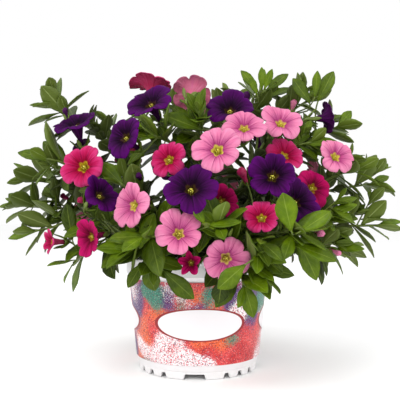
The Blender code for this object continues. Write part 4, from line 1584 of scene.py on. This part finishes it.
def wall_radius(height):
    """The pot wall's outer radius at this height."""
    share = (height - SLEEVE_BOTTOM) / (SLEEVE_TOP - SLEEVE_BOTTOM)
    return WALL_FOOT_RADIUS + share * (WALL_TOP_RADIUS - WALL_FOOT_RADIUS)


def turned(name, profile, sides, is_ring=False):
    """A closed turned shell: the profile's corners joined by edges and screwed once round."""
    outline = bpy.data.meshes.new(name)
    corners = [(radius, 0, height) for radius, height in profile]
    edges = [(k, k + 1) for k in range(len(corners) - 1)] + [(len(corners) - 1, 0)] * is_ring
    outline.from_pydata(corners, edges, [])
    piece = add_object(name, outline)
    make_active(piece)
    screw = piece.modifiers.new("turn", "SCREW")
    screw.steps = screw.render_steps = sides
    screw.use_merge_vertices = True
    screw.merge_threshold = 0.01 * MM
    bpy.ops.object.modifier_apply(modifier="turn")
    close_shell()
    return piece


def make_sleeve(finish):
    """The printed sleeve, round and thin, with softened edges."""
    soft = 0.15 * MM
    top = wall_radius(SLEEVE_TOP) + GAP
    foot = wall_radius(SLEEVE_BOTTOM) + GAP
    profile = (
        (top, SLEEVE_TOP - soft),
        (top + soft, SLEEVE_TOP),
        (top + SLEEVE_THICKNESS - soft, SLEEVE_TOP),
        (top + SLEEVE_THICKNESS, SLEEVE_TOP - soft),
        (foot + SLEEVE_THICKNESS, SLEEVE_BOTTOM + soft),
        (foot + SLEEVE_THICKNESS - soft, SLEEVE_BOTTOM),
        (foot, SLEEVE_BOTTOM),
    )
    sleeve = turned("printed_wrap", profile, SLEEVE_SIDES, is_ring=True)
    bpy.ops.object.shade_smooth_by_angle(angle=math.radians(40))
    with_finishes(sleeve, [finish])
    return finish_piece(sleeve, "sleeve_print", "printed_sleeve")


def pot_profile():
    """The pot's section: out along its floor, up inside, over the rim, down outside and back below."""
    soft = 0.3 * MM
    rim_foot = POT_HEIGHT - RIM_BAND
    rim_inside = RIM_RADIUS - WALL
    rim_face = RIM_RADIUS - 0.5 * MM
    bead = RIM_RADIUS - 0.15 * MM
    shoulder = wall_radius(SHOULDER)
    foot_top = wall_radius(FOOT_BAND)
    inner_foot = wall_radius(FLOOR_TOP) - WALL
    ring_inside = BASE_RADIUS - FOOT_WALL
    return (
        (0, FLOOR_TOP),
        (inner_foot - 0.8 * MM, FLOOR_TOP),
        (inner_foot, FLOOR_TOP + 0.8 * MM),
        (shoulder - WALL, SHOULDER),
        (rim_inside, rim_foot + 1 * MM),
        (rim_inside, POT_HEIGHT - soft),
        (rim_inside + soft, POT_HEIGHT),
        (RIM_RADIUS - 0.45 * MM, POT_HEIGHT),
        (bead, POT_HEIGHT - 0.2 * MM),
        (RIM_RADIUS, POT_HEIGHT - 0.6 * MM),
        (bead, POT_HEIGHT - 2.2 * MM),
        (rim_face, POT_HEIGHT - 2.6 * MM),
        (rim_face, rim_foot + 0.4 * MM),
        (RIM_RADIUS - 0.8 * MM, rim_foot),
        (shoulder + 0.4 * MM, SHOULDER + 0.1 * MM),
        (shoulder, SHOULDER - 0.5 * MM),
        (foot_top, FOOT_BAND + soft),
        (foot_top - 0.2 * MM, FOOT_BAND),
        (BASE_RADIUS, FOOT_BAND - 0.5 * MM),
        (BASE_RADIUS - 0.2 * MM, 1.2 * MM),
        (BASE_RADIUS - 0.4 * MM, soft),
        (BASE_RADIUS - 0.8 * MM, 0),
        (ring_inside + soft, 0),
        (ring_inside, soft),
        (ring_inside - 0.2 * MM, FLOOR_UNDER),
        (0, FLOOR_UNDER),
    )


def notch_share(angle):
    """How much of a drainage notch is open at this angle round the foot: 0 to 1, with slanted sides."""
    open_share = 0.0
    for quarter in range(4):
        for turn, width in NOTCHES:
            middle = math.radians(quarter * 90 + turn + NOTCH_TURN)
            off = abs((angle - middle + math.pi) % math.tau - math.pi) * BASE_RADIUS
            step = min(1.0, max(0.0, (width / 2 + NOTCH_SLANT / 2 - off) / NOTCH_SLANT))
            open_share = max(open_share, step * step * (3 - 2 * step))
    return open_share


def cut_notches(pot):
    """Raises the foot ring's lower edge to the notches' height wherever a notch is open."""
    ring_foot = FLOOR_UNDER - 0.1 * MM
    ring_inside = BASE_RADIUS - FOOT_WALL - 0.1 * MM
    for corner in pot.data.vertices:
        if corner.co.z < ring_foot and math.hypot(corner.co.x, corner.co.y) > ring_inside:
            raised = notch_share(math.atan2(corner.co.x, -corner.co.y)) * NOTCH_HEIGHT
            corner.co.z += raised * (1 - corner.co.z / FLOOR_UNDER)


def drill(piece, place, radius, depth):
    """Cuts a round hole upright through the piece."""
    deselect()
    bpy.ops.mesh.primitive_cylinder_add(vertices=24, radius=radius, depth=depth, location=place)
    drill_bit = bpy.context.object
    make_active(piece)
    cut = piece.modifiers.new("hole", "BOOLEAN")
    cut.object = drill_bit
    cut.solver = "EXACT"
    bpy.ops.object.modifier_apply(modifier="hole")
    bpy.data.objects.remove(drill_bit)


def make_pot(finish):
    """The pot, finely turned, with soft edges, a ledge under its rim, notches and drainage holes."""
    pot = turned("nursery_pot", pot_profile(), POT_SIDES)
    cut_notches(pot)
    for number in range(DRAIN_HOLES):
        angle = number * math.tau / DRAIN_HOLES
        place = (math.cos(angle) * DRAIN_CIRCLE, math.sin(angle) * DRAIN_CIRCLE, FLOOR_UNDER)
        drill(pot, place, DRAIN_RADIUS, 8 * MM)
    make_active(pot)
    bpy.ops.object.shade_smooth_by_angle(angle=math.radians(35))
    with_finishes(pot, [finish])
    return finish_piece(pot, "pot_plastic", "pot")


def soil_level(outwards, edge):
    """The height of the gently mounded soil this far from the pot's axis."""
    return SOIL_TOP + SOIL_MOUND - 2 * SOIL_MOUND * outwards / edge


def soil_crumb(draw, pattern, edge, finish):
    """One crumb of peat or perlite lying on the soil, a squashed copy of the pattern."""
    size = draw.uniform(0.5, 1.3) * MM
    outwards = edge * math.sqrt(draw.random()) * 0.96
    swing = draw.uniform(0, math.tau)
    sunk = 0.4 * MM
    level = soil_level(outwards, edge) - sunk
    place = Vector((outwards * math.cos(swing), outwards * math.sin(swing), level))
    turn = Quaternion((*(draw.uniform(-1, 1) for _ in "xyz"), 1)).normalized()
    squash = Vector([size * draw.uniform(low, high) for low, high in ((0.8, 1.4), (0.6, 1), (0.4, 0.8))])
    crumb = own_copy(pattern)
    crumb.data.transform(Matrix.LocRotScale(place, turn, squash))
    return with_finishes(crumb, [finish])


def make_mound(edge):
    """The body of peat: a gently domed and lumpy top, and the root ball down to the pot's floor."""
    foot_edge = wall_radius(FLOOR_TOP) - WALL - GAP - 1 * MM
    rings = [edge * ring / SOIL_RINGS for ring in range(SOIL_RINGS + 1)]
    profile = [(ring, soil_level(ring, edge)) for ring in rings]
    soil = turned("potting_soil", [*profile, (foot_edge, FLOOR_TOP + GAP), (0, FLOOR_TOP + GAP)], SOIL_SIDES)
    for corner in soil.data.vertices:
        is_inside = math.hypot(corner.co.x, corner.co.y) < edge - 0.5 * MM
        if is_inside and corner.co.z > SOIL_TOP - 2 * SOIL_MOUND:
            lumps = noise.noise(corner.co * 240) * 0.8 + noise.noise(corner.co * 800) * 0.4 - 0.5
            corner.co.z += lumps * MM
    return soil


def make_soil(finish, perlite_finish):
    """The peat in the pot, with crumbs and a little perlite lying on it."""
    edge = wall_radius(SOIL_TOP) - WALL - GAP
    soil = with_finishes(make_mound(edge), [finish])
    draw = random.Random("soil")
    deselect()
    bpy.ops.mesh.primitive_ico_sphere_add(subdivisions=1, radius=1, location=(0, 0, 0))
    pattern = bpy.context.object
    crumbs = []
    for number in range(SOIL_CRUMBS):
        is_perlite = number % PERLITE_EVERY == 0
        crumbs.append(soil_crumb(draw, pattern, edge, perlite_finish if is_perlite else finish))
    bpy.data.objects.remove(pattern)
    whole = join([soil, *crumbs], "potting_soil")
    return finish_piece(whole, "soil", "soil")


def make_plant():
    """All leafy stems, buds and blooms."""
    plant = Plant()
    pattern = blade_pattern()
    greens = [stalk_looks(), blade_looks(), blade_back_looks()]
    with_finishes(pattern, greens)
    for stem in STEMS:
        plant.make_leafy_stem(stem, pattern, greens)
    bud_finishes = {colour: bud_looks(colour) for colour in PETALS}
    for number, (colour, *_) in enumerate(BUDS):
        make_bud(number, plant.shoots, pattern, greens, bud_finishes[colour])
    bpy.data.objects.remove(pattern)
    stamens = stamen_pattern()
    petal_finishes = {colour: petal_looks(colour) for colour in PETALS}
    heart_finish = heart_looks()
    for bloom in plant.blooms:
        make_bloom(bloom, stamens, petal_finishes[bloom.colour], heart_finish)
    bpy.data.objects.remove(stamens)


def make_stage():
    """A plain pale floor and a plain white world."""
    deselect()
    bpy.ops.mesh.primitive_plane_add(size=60, location=(0, 0, -0.2 * MM))
    floor = bpy.context.object
    floor.name = "floor"
    look = Finish("pale_floor", roughness=0.9)
    with_finishes(floor, [look.colour(look.mix(look.noise(look.place(), scale=3), *FLOOR_PALES))])
    world = bpy.data.worlds.new("studio")
    world.use_nodes = True
    world.node_tree.nodes["Background"].inputs["Color"].default_value = (1, 1, 1, 1)
    world.node_tree.nodes["Background"].inputs["Strength"].default_value = 1.0
    bpy.context.scene.world = world


def make_light(name, place, size, power):
    """A soft round lamp that looks at the middle of the plant."""
    light = bpy.data.lights.new(name, "AREA")
    light.shape = "DISK"
    light.size = size
    light.energy = power
    lamp = add_object(name, light)
    lamp.location = place
    lamp.rotation_euler = (PLANT_MIDDLE - Vector(place)).to_track_quat("-Z", "Y").to_euler()


def make_camera():
    lens = bpy.data.cameras.new("camera")
    lens.sensor_width = 36
    lens.lens = FOCAL_PIXELS / PHOTO_SIZE * lens.sensor_width
    lens.clip_start = 0.01
    camera = add_object("camera", lens)
    camera.location = CAMERA
    pitch = math.atan((HORIZON_ROW - PHOTO_SIZE / 2) / FOCAL_PIXELS)
    yaw = math.atan((PHOTO_SIZE / 2 - POT_COLUMN) / FOCAL_PIXELS)
    camera.rotation_euler = (math.pi / 2 + pitch, 0, -yaw)
    bpy.context.scene.camera = camera


make_camera()
make_stage()
make_light("key", place=(-0.7, -0.9, 1.1), size=1.2, power=16)
make_light("fill", place=(0.9, -0.7, 0.7), size=1.1, power=6)
make_soil(soil_looks(), perlite_looks())
make_pot(pot_looks())
make_sleeve(print_looks())
make_plant()
bpy.context.scene.view_settings.view_transform = "Standard"
